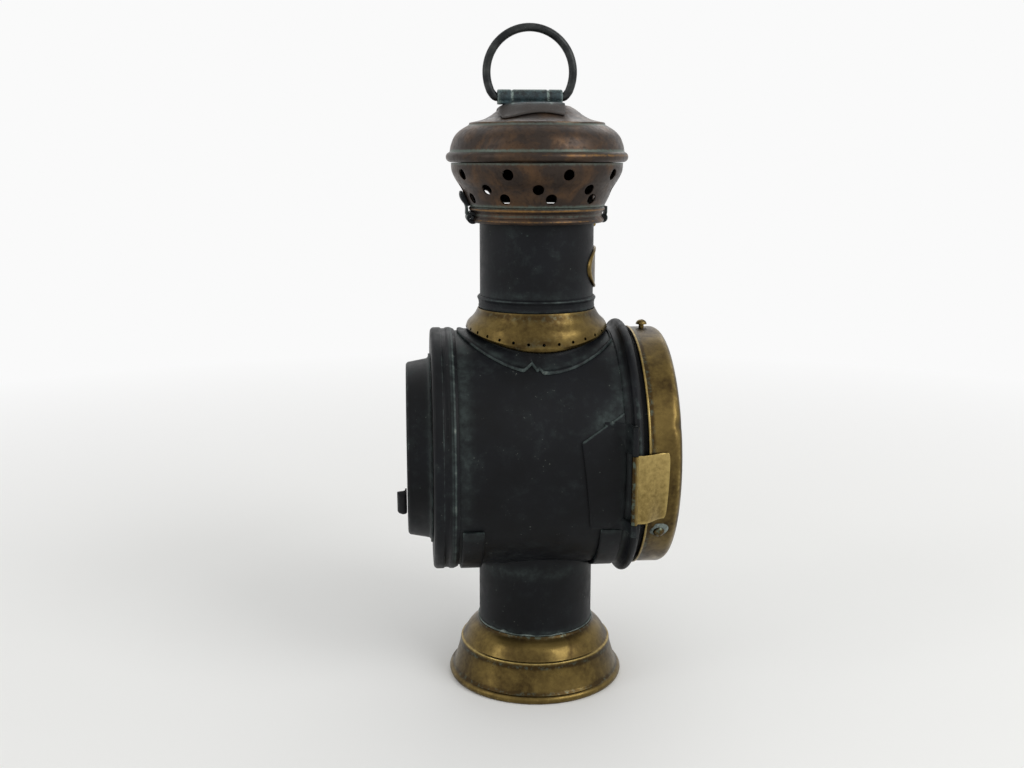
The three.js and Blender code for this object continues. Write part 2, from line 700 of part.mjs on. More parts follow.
// Strap that lies over the crown and holds a tube, in which the ring handle turns
function makeHandleBracket() {
  const half = knuckleLength / 2;
  const cover = (rise) => turned([...cone.map(([r, z]) => [r, z + rise]), [stepRadius, bandTop],
    [0, bandTop]], medium);
  const rear = handleShift - half;
  const front = handleShift + half;
  const foot = block([rear, front], [-plateDepth / 2, plateDepth / 2],
    [stepHeight - stepDrop, crownTop + overrun]);
  const plate = cut(meet(cover(gap + brassSheet), foot), cover(gap));
  const along = (radius, start, end) => lengthwise(radius, start, end, small, 0, knuckleHeight);
  const tube = along(knuckleRadius, rear, front);
  const bore = along(wireRadius + gap, rear - overrun, front + overrun);
  const web = block([rear, front], [-knuckleRadius * 0.8, knuckleRadius * 0.8],
    [crownTop + gap + brassSheet / 2, knuckleHeight]);
  const inset = knuckleLength * 0.14;
  const reach = knuckleRadius + overrun;
  const groove = (x) => {
    const ring = cut(along(reach, x - gap, x + gap), along(knuckleRadius - gap, x - gap, x + gap));
    const above = block([x - gap, x + gap], [-reach, reach],
      [crownTop + knuckleRadius / 2, knuckleHeight + reach]);
    return meet(ring, above);
  };
  const grooves = [groove(rear + inset), groove(front - inset)];
  add(cap, 'handle_bracket', cut(join(plate, tube, web), bore, ...grooves), verdigris);
}

// Round wire bent to a ring, closed by a straight run whose ends meet in the bracket
function makeRingHandle() {
  const start = degrees(8);
  const chord = Math.sqrt(handleRadius ** 2 - handleRise ** 2);
  const low = Math.atan2(-handleRise, chord);
  const centre = knuckleHeight + handleRise;
  const path = [[gap, knuckleHeight], [chord * 0.94, knuckleHeight]];
  for (let i = 0; i <= handleSteps; i += 1) {
    const t = low + start + (Math.PI - 2 * (low + start)) * i / handleSteps;
    path.push([handleRadius * Math.cos(t), centre + handleRadius * Math.sin(t)]);
  }
  path.push([-chord * 0.94, knuckleHeight], [-gap, knuckleHeight]);
  const rings = path.map(([x, z], i) => {
    const before = path[Math.max(i - 1, 0)];
    const after = path[Math.min(i + 1, path.length - 1)];
    const along = new THREE.Vector2(after[0] - before[0], after[1] - before[1]).normalize();
    return around(wireFacets, (t) => {
      const out = wireRadius * Math.cos(t);
      const side = wireRadius * Math.sin(t);
      return new THREE.Vector3(handleShift + x - along.y * out, side, z + along.x * out);
    });
  });
  add(cap, 'ring_handle', loft(rings), darkSteel);
}

// Cap hinge: a leaf on the basket, its knuckle, two lugs on the chimney and the pin
function makeCapHinge() {
  const half = capLeafWidth / 2;
  const bore = crosswise(capPin + gap, -bandRadius, bandRadius, small, capPinX, capPinHeight);
  const knuckle = crosswise(capKnuckle, -half, half, small, capPinX, capPinHeight);
  const reach = -bandRadius - gap;
  const line = [[reach - (basketRadius - bandRadius) * 0.35, bandTop + capKnuckle * 2.6],
    [reach - (basketRadius - bandRadius) * 0.22, bandTop + capKnuckle * 1.3],
    [reach - gap, bandTop], [capPinX - capKnuckle * 0.72, capPinHeight + capKnuckle * 0.5]];
  const leaf = wide(strip(line, brassSheet * 1.5), -half, half);
  const basketSide = between([basketRadius, basketTop], [bandRadius - gap, bandTop + gap],
    basketShares);
  const basketSkin = turned([...basketSide.map(([r, z]) => [r + gap, z]), [0, bandTop],
    [0, basketTop]], medium);
  add(cap, 'cap_hinge_leaf', cut(join(cut(leaf, basketSkin), knuckle), bore), verdigris);

  const chimney = upright(chimneyRadius + gap, 0, chimneyTop + overrun, medium);
  const lug = (near, far) => {
    const eye = crosswise(capKnuckle, near, far, small, capPinX, capPinHeight);
    const arm = block([capPinX, -chimneyRadius * 0.9], [near, far],
      [capPinHeight - capKnuckle * 0.6, capPinHeight + capKnuckle * 0.6]);
    return cut(join(eye, arm), bore, chimney);
  };
  add(body, 'cap_hinge_lug_near', lug(-half - gap - capLugWidth, -half - gap), verdigris);
  add(body, 'cap_hinge_lug_far', lug(half + gap, half + gap + capLugWidth), verdigris);
  const pinHalf = half + capLugWidth + gap * 2;
  const pin = crosswise(capPin, -pinHalf, pinHalf, small, capPinX, capPinHeight);
  add(body, 'cap_hinge_pin', pin, darkSteel);
}

// Catch: a curled tongue on the band, over a stud on the chimney
function makeCapCatch() {
  const half = catchWidth / 2;
  const x = bandRadius + gap;
  const curlX = x - catchCurl * 0.55;
  const curl = crosswise(catchCurl, -half, half, small, curlX, catchHeight);
  const hollow = crosswise(catchCurl - brassSheet, -half - overrun, half + overrun, small, curlX,
    catchHeight);
  const mouth = block([curlX - catchCurl, curlX - catchCurl * 0.3], [-half - overrun, half + overrun],
    [catchHeight - catchCurl - gap, catchHeight + catchCurl * 0.3]);
  const tongue = block([x, x + brassSheet], [-half, half], [catchHeight, bandTop]);
  add(cap, 'cap_catch', join(cut(curl, hollow, mouth), cut(tongue, hollow)), verdigris);

  const studRadius = catchCurl * 0.6;
  const stud = new THREE.SphereGeometry(studRadius, small, ballRings)
    .translate(chimneyRadius, 0, catchHeight - catchCurl * 1.4);
  const clear = upright(chimneyRadius + gap, 0, chimneyTop, large * 2);
  add(body, 'cap_catch_stud', cut(toSolid(stud), clear), agedBrass);
}

// Lens door: bezel, lens, inner ring with its spigot, screws and hinge

// A cylinder that stands out from the drum's axis, at an angle from the top towards the near side
function radial(radius, inner, outer, station, angle, facets) {
  const g = new THREE.CylinderGeometry(radius, radius, outer - inner, facets).rotateX(Math.PI / 2);
  g.translate(0, 0, (inner + outer) / 2).rotateX(angle);
  return toSolid(g.translate(station, 0, drumHeight));
}

const dishShares = [1, 0.75, 0.5, 0.25, 0];

function makeLensDoor() {
  const middle = [bezelRadius - bezelCorner, bezelFront - bezelCorner];
  const corner = arc(...middle, bezelCorner, 0, 90, 3);
  const innerCorner = arc(...middle, bezelCorner - brassSheet, 90, 0, 2);
  const lip = [[bezelRadius - brassSheet, bezelRear], [bezelRadius + bezelLip, bezelRear],
    [bezelRadius + bezelLip, bezelRear + bezelLip * 2], [bezelRadius, bezelRear + bezelLip * 3]];
  const profile = [...lip, ...corner, [lensSight, bezelFront],
    [lensSight, bezelFront - brassSheet], ...innerCorner];
  const angles = [0, 2 * Math.PI / 3, -2 * Math.PI / 3];
  const screwed = (radius, inner, outer, angle) =>
    radial(radius, inner, outer, screwStation, angle, pinFacets);
  const holes = angles
    .map((angle) => screwed(screwRadius + gap, lensSight, bezelRadius + overrun, angle));
  add(lensDoor, 'lens_bezel', cut(turnedOnDrum(profile, large), ...holes), agedBrass);

  const back = bezelFront - brassSheet - gap;
  const dome = dishShares
    .map((share) => [(lensSight - gap) * share, back + lensRise * (1 - share ** 2)]);
  const lens = [[lensRadius, back - lensEdge], [lensRadius, back], ...dome, [0, back - lensEdge]];
  add(lensDoor, 'lens_glass', turnedOnDrum(lens, medium), clearGlass);

  const stop = back - lensEdge - gap;
  const seat = bezelRadius - brassSheet - gap;
  const ring = [[spigotRadius - sheet, spigotRear], [spigotRadius, spigotRear],
    [spigotRadius, bezelRear + gap], [seat, bezelRear + gap], [seat, stop],
    [lensRadius - sheet, stop], [lensRadius - sheet, stop - sheet],
    [spigotRadius - sheet, stop - sheet]];
  add(lensDoor, 'lens_retaining_ring', cut(turnedOnDrum(ring, large), ...holes), blackPaint);

  ['top', 'near', 'far'].forEach((place, i) => {
    const head = bezelRadius + gap + (place === 'top' ? screwProud : 0);
    const shank = screwed(screwRadius, spigotRadius - sheet * 2, head + gap, angles[i]);
    const outline = arc(0, head, screwDome, 90, 0, 3).map(([r, z]) => [r * screwHead / screwDome, z]);
    const closed = [...outline, [0, head], outline[0]].map(([r, z]) => new THREE.Vector2(r, z));
    const cheese = new THREE.LatheGeometry(closed, headFacets);
    const slot = new THREE.BoxGeometry(gap * 2, screwHead * 3, screwDome)
      .translate(0, 0, head + screwDome);
    const onBezel = (g) => toSolid(g.rotateX(angles[i]).translate(screwStation, 0, drumHeight));
    const dressed = cut(onBezel(cheese.rotateX(Math.PI / 2)), onBezel(slot));
    add(lensDoor, `bezel_screw_${place}`, join(dressed, shank), agedBrass);
  });
}

// Lens hinge: the moving leaf follows the bezel, the fixed leaf is a patch on the drum
function makeLensHinge() {
  const pinY = -(drumRadius + ringRise + gap + lensKnuckle);
  const bore = upright(lensPin + gap / 2, leafBottom - overrun * 4, leafTop + overrun * 5, small,
    lensPinX, pinY);
  const columns = 9;
  const rows = 6;
  const onBezel = bezelRadius + bezelLip + gap;
  const bridgeEnd = bezelRear + bezelLip * 4;
  const bridgeStart = ringPeak + ringBead;
  const leafRings = Array.from({ length: rows }, (_, i) => {
    const z = leafBottom + (leafTop - leafBottom) * i / (rows - 1);
    const side = (out) => Array.from({ length: columns }, (_unused, j) => {
      const x = lensPinX + (leafFront - lensPinX) * j / (columns - 1);
      const settle = THREE.MathUtils.smoothstep(x, bridgeStart, bridgeEnd);
      const level = pinY + lensKnuckle * 0.95 - out;
      return new THREE.Vector3(x, level * (1 - settle) + flank(z, onBezel + out) * settle, z);
    });
    return [...side(brassSheet), ...side(0).reverse()];
  });
  const knuckle = upright(lensKnuckle, leafBottom, leafTop, small, lensPinX, pinY);
  add(lensDoor, 'lens_hinge_leaf', cut(join(loft(leafRings), knuckle), bore), agedBrass);

  const inner = drumRadius + gap;
  const skin = turnedOnDrum([[inner + patchSheet, drumMouth], [inner + patchSheet, drumRear],
    [inner, drumRear], [inner, drumMouth]], large * 2);
  const front = ringStart - gap;
  const strapTop = drumHeight - drumRadius / 2.1 + gap;
  const slope = patchRear + strapWidth / 2;
  const outline = [[patchRear, drumHeight + drumRadius * 0.26], [slope, strapTop], [front, strapTop],
    [front, leafTop + gap + upperLug + patchMargin]];
  const shape = new THREE.Shape(outline.map(([x, z]) => new THREE.Vector2(x, z)));
  const prism = new THREE.ExtrudeGeometry(shape, { depth: drumRadius + overrun, bevelEnabled: false });
  const patch = meet(skin, toSolid(prism.rotateX(Math.PI / 2)));
  const drumBody = lengthwise(inner, drumRear, drumMouth, large * 2);
  const lug = (bottom, top) => {
    const middle = (bottom + top) / 2;
    const root = flank(middle, inner);
    const line = [[front - strapWidth, root + patchSheet * 3],
      [front - strapWidth / 3, root - patchSheet * 0.5], [lensPinX, pinY - lensKnuckle * 0.9]];
    const arm = tall(strip(line, -patchSheet * 1.4), bottom, top);
    const eye = upright(lensKnuckle, bottom, top, small, lensPinX, pinY);
    return join(cut(arm, drumBody), eye);
  };
  const upper = lug(leafTop + gap, leafTop + gap + upperLug);
  const lower = lug(leafBottom - gap - lowerLug, leafBottom - gap);
  add(body, 'lens_hinge_patch', cut(join(patch, upper, lower), bore), blackPaint);
  const pin = upright(lensPin, leafBottom - gap - lowerLug, leafTop + gap + upperLug + lensPin,
    small, lensPinX, pinY);
  add(body, 'lens_hinge_pin', pin, darkSteel);
}

// Spring catch on the far side, which snaps over a stud on the bezel
function makeLensCatch() {
  const half = catchStripWidth / 2;
  const reach = drumRadius + ringRise + gap + lensKnuckle * 2;
  const rest = bezelRadius + bezelLip + gap * 3;
  const overBead = drumRadius + ringRise + gap;
  const line = [[ringStart - strapWidth, drumRadius + gap], [ringStart - gap * 3, drumRadius + gap],
    [ringPeak - ringBead, overBead], [ringPeak + ringBead, overBead], [bezelRear + bezelLip, rest],
    [screwStation, rest], [screwStation + brassSheet * 2, rest + brassSheet],
    [screwStation + brassSheet * 3, reach]];
  const outline = strip(line, -brassSheet).map(([x, y]) => [x, Math.min(y, reach)]);
  const spring = tall(outline, drumHeight - half, drumHeight + half);
  add(body, 'lens_catch_spring', spring, agedBrass);
  const dome = new THREE.SphereGeometry(screwHead, small, ballRings).scale(1, 0.35, 1)
    .translate(screwStation - screwHead, bezelRadius, drumHeight);
  const clear = lengthwise(bezelRadius + gap, bezelRear - overrun, bezelFront, large * 2);
  add(lensDoor, 'lens_catch_stud', cut(toSolid(dome), clear), agedBrass);
}

// Rear door: a stepped cup with a pull tab, its reflector and its hinge

function makeRearDoor() {
  const flangeX = rimRear - gap;
  const wallRadius = doorRadius + doorTaper;
  const wallFoot = flangeX - brassSheet * 1.5;
  const corner = arc(doorRadius - doorCorner, doorFace + doorCorner, doorCorner, -90, 0, 3);
  const ring = doorRadius * 0.62;
  const pressed = doorFace + doorCorner / 2;
  const outside = [[doorFlange, flangeX - brassSheet], [wallRadius, wallFoot],
    ...corner.reverse(), [ring + doorCorner, doorFace], [ring, pressed], [0, pressed]];
  const inside = outside.map(([r, x]) => [Math.max(r - brassSheet, 0), x + brassSheet])
    .slice(1).reverse();
  const profile = [[doorFlange, flangeX], ...outside, ...inside,
    [wallRadius - brassSheet, flangeX]];
  add(rearDoor, 'rear_door_cup', turnedOnDrum(profile, medium), blackPaint);

  const rim = flangeX + brassSheet;
  const dish = dishShares.map((share) => [reflectorRadius * share,
    rim - reflectorDepth * (1 - share ** 2)]);
  const lip = [[reflectorRadius + gap * 2, rim], [reflectorRadius + gap * 2, rim - brassSheet]];
  const back = dish.map(([r, x]) => [r, x - brassSheet]);
  const bowl = [dish[0], ...lip, ...back, ...dish.slice(1).reverse()];
  add(rearDoor, 'reflector', turnedOnDrum(bowl, medium), bareTin);
}

// Curled strip on the near edge of the cup
function makePullTab() {
  const half = tabWidth / 2;
  const start = doorRadius - doorCorner * 3;
  const face = doorFace - gap;
  const line = [[start, face], [doorRadius - doorCorner, face],
    [doorRadius - doorCorner / 2, face - tabCurl * 0.4],
    [doorRadius - doorCorner * 1.6, face - tabCurl + gap]];
  const points = strip(line, brassSheet * 1.4)
    .map(([r, x]) => new THREE.Vector2(r, Math.max(x, doorFace - tabCurl)));
  const shape = new THREE.Shape(points);
  const g = new THREE.ExtrudeGeometry(shape, { depth: tabWidth, bevelEnabled: false });
  const basis = new THREE.Matrix4().makeBasis(new THREE.Vector3(0, 0, 1),
    new THREE.Vector3(1, 0, 0), new THREE.Vector3(0, 1, 0));
  g.translate(0, 0, -half).applyMatrix4(basis);
  g.rotateX(degrees(tabAngle)).translate(0, 0, drumHeight);
  add(rearDoor, 'rear_door_tab', toSolid(g), blackPaint);
}

function makeRearHinge() {
  const third = doorHingeLength / 3;
  const low = drumHeight - doorHingeLength / 2;
  const high = low + doorHingeLength;
  const onPin = (radius, bottom, top) => upright(radius, bottom, top, small, doorPinX, doorPinY);
  const bore = onPin(doorPin + gap / 2, low - overrun, high + overrun);
  const bottom = low + third + gap;
  const top = high - third - gap;
  const knuckle = onPin(doorKnuckle, bottom, top);
  const face = rimRear - gap - brassSheet - gap;
  const leafNear = Math.sqrt((doorRadius + doorTaper + gap * 2) ** 2 - (third / 2) ** 2) + gap;
  const leaf = block([face - brassSheet, face], [leafNear, doorPinY], [bottom, top]);
  add(rearDoor, 'rear_hinge_leaf', cut(join(leaf, knuckle), bore), blackPaint);

  const lug = (from, to) => {
    const arm = block([rimRear - gap - brassSheet, rimRear - gap], [doorPinY, drumRadius - gap],
      [from, to]);
    return cut(join(onPin(doorKnuckle, from, to), arm), bore);
  };
  add(body, 'rear_hinge_lug_lower', lug(low, low + third), blackPaint);
  add(body, 'rear_hinge_lug_upper', lug(high - third, high), blackPaint);
  add(body, 'rear_hinge_pin', onPin(doorPin, low - doorPin, high + doorPin), darkSteel);
}

// Oil font, which draws down out of the lower tube with its burner

const spindleY = wickThickness / 2 + spindleRadius + gap;

function makeFont() {
  const shoulder = arc(fontRadius - fontSheet * 5, fontTop - fontSheet * 5, fontSheet * 5, 90, 0, 3);
  const outside = [[mouthRadius, fontTop], ...shoulder, [fontRadius, fontBottom], [0, fontBottom]];
  const inside = outside.map(([r, z]) => [Math.max(r - (r > mouthRadius ? fontSheet : 0), 0),
    z + (z > fontBottom ? -fontSheet : fontSheet)]).reverse();
  add(font, 'oil_font', turned([...outside, ...inside], medium), bareTin);

  const top = tubeBottom - gap;
  const bottom = top - flangeSheet;
  const knurl = around(medium, (t, i) => new THREE.Vector2(Math.cos(t), Math.sin(t))
    .multiplyScalar(flangeRim - (i % 2 ? gap : 0)));
  const disc = new THREE.ExtrudeGeometry(new THREE.Shape(knurl),
    { depth: flangeSheet, bevelEnabled: false });
  const recess = upright(fontRadius * 0.8, bottom - overrun, bottom + flangeSheet / 2, medium);
  add(font, 'font_base', cut(toSolid(disc.translate(0, 0, bottom)), recess), agedBrass);

  const neck = mouthRadius - gap;
  const seat = fontTop + gap;
  const waist = burnerRadius * 0.78;
  const collar = [[burnerRadius, burnerTop], [burnerRadius, burnerTop - sheet * 2],
    [waist, seat + sheet * 4], [waist, seat], [neck, seat], [neck, seat - flangeSheet * 2],
    [0, seat - flangeSheet * 2], [0, burnerTop]];
  const slot = (extra) => [[-wickWidth / 2 - extra, wickWidth / 2 + extra],
    [-wickThickness / 2 - extra, wickThickness / 2 + extra]];
  const wall = sheet * 0.8;
  const passage = block(...slot(gap + wall + gap), [0, burnerTop + overrun]);
  add(font, 'burner_base', cut(turned(collar, small * 2), passage), agedBrass);

  const shaft = lengthwise(spindleRadius + gap, -wheelReach, wickWidth, small, spindleY,
    winderHeight);
  const tube = cut(block(...slot(gap + wall), [seat - flangeSheet * 3, wickTubeTop]),
    block(...slot(gap), [0, wickTubeTop + overrun]), shaft);
  add(font, 'wick_tube', tube, agedBrass);

  const coneOutline = [[0, coneTop], [coneRadius * 0.42, coneTop - sheet],
    [coneRadius * 0.74, coneTop - 6 * sheet], [coneRadius * 0.94, coneBottom + sheet * 4],
    [coneRadius, coneBottom]];
  const shell = walled(coneOutline, sheet);
  shell[shell.length - 1] = [0, coneTop - sheet];
  const flameSlot = block([-wickWidth * 0.62, wickWidth * 0.62],
    [-wickThickness * 1.6, wickThickness * 1.6], [coneBottom, coneTop + overrun]);
  add(font, 'burner_cone', cut(turned(shell, small * 2), flameSlot), agedBrass);

  const broad = coneRadius + gap + sheet;
  const narrow = burnerRadius - sheet * 2;
  const floor = burnerTop + gap;
  const gallery = [[broad, coneBottom + sheet], [broad, floor], [narrow, floor],
    [narrow, floor + sheet], [coneRadius - sheet, floor + sheet],
    [coneRadius - sheet, coneBottom - gap], [coneRadius + gap, coneBottom - gap],
    [coneRadius + gap, coneBottom + sheet]];
  const portHeight = (burnerTop + coneBottom) / 2;
  const ports = around(portCount, (t) => {
    const port = new THREE.CylinderGeometry(portRadius, portRadius, coneRadius, holeFacets)
      .rotateZ(Math.PI / 2).translate(coneRadius, 0, 0);
    return toSolid(port.rotateZ(t + Math.PI / portCount).translate(0, 0, portHeight));
  });
  add(font, 'burner_gallery', cut(turned(gallery, small * 2), ...ports, shaft), agedBrass);

  const wick = block(...slot(0), [fontBottom + fontSheet + overrun, wickTubeTop + wickStandOut]);
  add(font, 'wick', wick, cotton);
}

// Winder: a spindle that grips the wick, with a wheel at its rear end
function makeWickWinder() {
  const shaft = lengthwise(spindleRadius, -wheelReach, wickWidth / 2, small, spindleY,
    winderHeight);
  const wheel = lengthwise(wheelRadius, -wheelReach, -wheelReach + wheelThickness, medium,
    spindleY, winderHeight);
  add(font, 'wick_winder', join(shaft, wheel), agedBrass);
}

makeDrum();
makeFrontRing();
makeRearRim();
makeSaddleFlange();
makeCollar();
makeChimney();
makeOvalPlate();
makeTubeAndFoot();
makeStraps();
makeBasket();
makeNeckBand();
makeCrown();
makeHandleBracket();
makeRingHandle();
makeCapHinge();
makeCapCatch();
makeLensDoor();
makeLensHinge();
makeLensCatch();
makeRearDoor();
makePullTab();
makeRearHinge();
makeFont();
makeWickWinder();

export default lamp;
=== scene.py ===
"""Dresses an old oil-burning carriage lamp: worn black tinplate, tarnished brass and a brown copper cap.

Run as a script in Blender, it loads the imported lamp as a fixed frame, makes each finished piece over it
and sets up a plain stage with a camera. Tables of shape are in millimetres or in shares of the frame's sizes.
"""

import functools
import random
from math import acos, atan2, ceil, cos, degrees, dist, exp, hypot, pi, radians, sin, sqrt, tau

import bmesh
import bpy
from mathutils import Matrix, Vector


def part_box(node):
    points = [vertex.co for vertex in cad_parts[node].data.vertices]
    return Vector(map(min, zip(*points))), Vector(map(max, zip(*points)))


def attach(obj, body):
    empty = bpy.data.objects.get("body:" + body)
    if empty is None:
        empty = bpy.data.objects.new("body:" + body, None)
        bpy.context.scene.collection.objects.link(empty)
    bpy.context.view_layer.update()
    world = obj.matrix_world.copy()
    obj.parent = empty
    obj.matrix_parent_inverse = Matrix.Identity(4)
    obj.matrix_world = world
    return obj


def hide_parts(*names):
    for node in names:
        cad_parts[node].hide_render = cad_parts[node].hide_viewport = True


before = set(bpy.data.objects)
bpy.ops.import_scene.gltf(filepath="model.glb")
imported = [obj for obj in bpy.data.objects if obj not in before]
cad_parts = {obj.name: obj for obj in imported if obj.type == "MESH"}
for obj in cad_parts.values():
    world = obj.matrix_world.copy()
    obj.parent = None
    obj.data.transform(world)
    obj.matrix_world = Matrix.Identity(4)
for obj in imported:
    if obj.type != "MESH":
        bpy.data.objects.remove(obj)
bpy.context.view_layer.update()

bl_info = {
    "name": "Carriage Lamp",
    "version": (1, 0, 0),
    "blender": (4, 5, 0),
    "location": "View3D > Sidebar > Carriage Lamp",
    "description": "Makes the pieces of an old carriage lamp around its packed frame",
    "category": "Object",
}

MM = 0.001

# Axes of a point
X, Y, Z = range(3)


def low(piece, axis):
    """Lowest reach of a frame node along an axis, in millimetres."""
    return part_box(piece)[0][axis] / MM


def high(piece, axis):
    """Highest reach of a frame node along an axis, in millimetres."""
    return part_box(piece)[1][axis] / MM


def span(piece, axis):
    """Both reaches of a frame node along an axis, in millimetres."""
    return low(piece, axis), high(piece, axis)


def middle(piece, axis):
    """Half way between a frame node's ends along an axis, in millimetres."""
    return sum(span(piece, axis)) / 2


# Sizes read from the frame
DRUM_R = high("drum_shell", Y)
DRUM_Z = high("lens_bezel", Z) - high("lens_bezel", Y)
DRUM_REAR, DRUM_MOUTH = span("drum_shell", X)
RING_START, RING_END = span("front_ring", X)
RING_R = high("front_ring", Y)
RIM_REAR, RIM_FRONT = span("rear_rim", X)
RIM_R = high("rear_rim", Y)
FLANGE_R = high("saddle_flange", Y)
NECK_TOP = high("saddle_flange", Z)
COLLAR_R = high("brass_collar", X)
COLLAR_TOP = high("brass_collar", Z)
CHIMNEY_R = high("chimney_tube", X)
CHIMNEY_FOOT, CHIMNEY_TOP = span("chimney_tube", Z)
TUBE_R = high("lower_tube", X)
TUBE_FOOT, TUBE_TOP = span("lower_tube", Z)
FOOT_R = high("brass_foot", X)
FOOT_TOP = high("brass_foot", Z)
BASKET_R = high("cap_basket", X)
BASKET_FOOT, BASKET_TOP = span("cap_basket", Z)
BAND_R = high("cap_neck_band", Y)
BAND_FOOT, BAND_TOP = span("cap_neck_band", Z)
CROWN_R = high("cap_crown", X)
CROWN_TOP = high("cap_crown", Z)
BEZEL_R = high("lens_bezel", Y)
BEZEL_REAR, BEZEL_FRONT = span("lens_bezel", X)
LENS_R = high("lens_glass", Y)
LENS_REAR, LENS_CROWN = span("lens_glass", X)
CUP_FACE = low("rear_door_cup", X)
CUP_FLANGE_R = high("rear_door_cup", Y)

# Thickness of the sheets, and the clear space between neighbours, in millimetres
SHEET = 0.9
BRASS_SHEET = 0.8
FIT = 0.3

# Sizes that no frame node's box shows, in millimetres
NECK_R = 33.0
# How much lower the collar's rim hangs at the drum's flanks than over its back
COLLAR_DROP = 7.6
# Height of the collar's rim over the drum's back
RIM_UP = DRUM_Z + DRUM_R + 1.4
# The bezel's wall stands inside its rear lip, and the round that shows the glass inside the glass's edge
BEZEL_WALL_R = BEZEL_R - 0.5
SIGHT_R = LENS_R - 1.8

# Sides of a cut that is as wide as a tube
WIDE_SIDES = 96


def linear(code):
    """The linear colour of an sRGB hex code."""
    parts = [int(code[i:i + 2], 16) / 255 for i in (0, 2, 4)]
    return tuple(c / 12.92 if c <= 0.04045 else ((c + 0.055) / 1.055) ** 2.4 for c in parts)


def colour(name, code, description):
    return bpy.props.FloatVectorProperty(name=name, description=description, subtype="COLOR", size=3,
                                         min=0.0, max=1.0, default=linear(code))


def length(name, millimetres, description):
    return bpy.props.FloatProperty(name=name, description=description, unit="LENGTH",
                                   default=millimetres * MM, min=0.0)


class LampSizes(bpy.types.PropertyGroup):
    """Sizes a user may change without leaving the frame."""

    facets: bpy.props.IntProperty(name="Facets", description="Facets round a large turned piece",
                                  default=192, min=48, max=512)
    small_facets: bpy.props.IntProperty(name="Small facets", description="Facets round a hinge's knuckle",
                                        default=40, min=12, max=128)
    edge: length("Edge", 0.2, "Rounding of folded and cut edges")
    dent: length("Dent depth", 0.5, "Deepest dent in the drum")
    hole: length("Hole radius", 2.7, "Radius of the holes punched in the cap's basket")
    vent: length("Vent radius", 0.75, "Radius of the holes round the collar's rim")
    nick: length("Nick", 4.2, "How far the torn nick reaches into the flange")
    crust: length("Solder crust", 0.7, "Thickness of the solder round the tube's foot")


class LampFinishes(bpy.types.PropertyGroup):
    """Colours of the finishes."""

    paint: colour("Paint", "090a0c", "Black paint where it is whole")
    paint_faded: colour("Faded paint", "121418", "Black paint where light and age have dulled it")
    # Chalked paint and bare rims also paint the highlight on the rear rim and the sheen on the drum beside
    # it.
    paint_chalk: colour("Chalked paint", "414b49", "Grey green film where the paint has worn thin")
    paint_bare: colour("Bare rims", "8e938a", "Pale metal on rims and chips")
    brass: colour("Brass", "6b5a33", "Brass with a thin tarnish")
    brass_dark: colour("Dark brass", "3a2e1b", "Brass under a thick brown tarnish")
    # Bright brass also paints the highlight on the collar's belly and on the lens hinge leaf.
    brass_bright: colour("Bright brass", "a8935c", "Brass rubbed bare on edges")
    copper: colour("Copper", "38302b", "Brown patina of the cap")
    copper_warm: colour("Warm copper", "54402f", "Cap where the patina is thin")
    patina: colour("Patina", "55635a", "Green grey film in creases")
    verdigris: colour("Verdigris", "33454a", "Dull blue green metal")
    steel: colour("Steel", "1c1e1f", "Dark bare wire")
    tin: colour("Tin", "8f908b", "Dull tinplate")
    solder: colour("Solder", "7b8580", "Weathered soft solder")
    cotton: colour("Cotton", "c9bd9f", "Woven wick")
    char: colour("Char", "1c1917", "Burnt end of the wick")


class LampStage(bpy.types.PropertyGroup):
    """Camera and floor."""

    focal: bpy.props.FloatProperty(name="Focal length", description="Focal length on a 36 mm wide sensor",
                                   default=40.43, unit="CAMERA")
    distance: length("Distance", 575, "Level distance from the camera to the chimney")
    camera_height: length("Camera height", 269, "Height of the camera above the floor")
    shift_left: length("Offset", 12.2, "How far the chimney stands right of the picture's middle")
    turn: bpy.props.FloatProperty(name="Turn", description="How far the drum turns from the picture plane",
                                  default=radians(5.0), subtype="ANGLE")
    tilt: bpy.props.FloatProperty(name="Tilt", description="How far the camera looks down",
                                  default=radians(11.3), subtype="ANGLE")
    floor_colour: colour("Floor", "f1f1ef", "Pale floor and backdrop")


def sizes():
    return bpy.context.scene.lamp_sizes


def finishes():
    return bpy.context.scene.lamp_finishes


# Outlines: lists of (radius, station) in millimetres

def shares_between(start, end, shares):
    """Points at the given shares of the way from one corner to the other."""
    return [(start[0] + (end[0] - start[0]) * a, start[1] + (end[1] - start[1]) * b) for a, b in shares]


def arc(centre, radius, start, end, steps):
    """Points on an arc between two angles in degrees."""
    turns = [radians(start + (end - start) * i / steps) for i in range(steps + 1)]
    return [(centre[0] + radius * cos(t), centre[1] + radius * sin(t)) for t in turns]


def curved(points, steps=6):
    """A smooth curve through the points of an open outline."""
    ends = [points[0], *points, points[-1]]
    out = []
    for a, b, c, d in zip(ends, ends[1:], ends[2:], ends[3:]):
        for i in range(steps):
            t = i / steps
            out.append(tuple(0.5 * (2 * q + (r - p) * t + (2 * p - 5 * q + 4 * r - s) * t * t
                                    + (3 * q - p - 3 * r + s) * t ** 3) for p, q, r, s in zip(a, b, c, d)))
    return out + [points[-1]]


def offset(outline, wall):
    """The same outline moved to its right-hand side by a sheet's thickness."""
    out = []
    for i, (r, s) in enumerate(outline):
        before = outline[max(i - 1, 0)]
        after = outline[min(i + 1, len(outline) - 1)]
        along = Vector((after[0] - before[0], after[1] - before[1])).normalized()
        out.append((r + wall * along.y, s - wall * along.x))
    return out


def walled(outline, wall):
    """A closed section: the outline, and its other side at a sheet's thickness."""
    return outline + [(max(r, 0.0), s) for r, s in offset(outline, wall)][::-1]


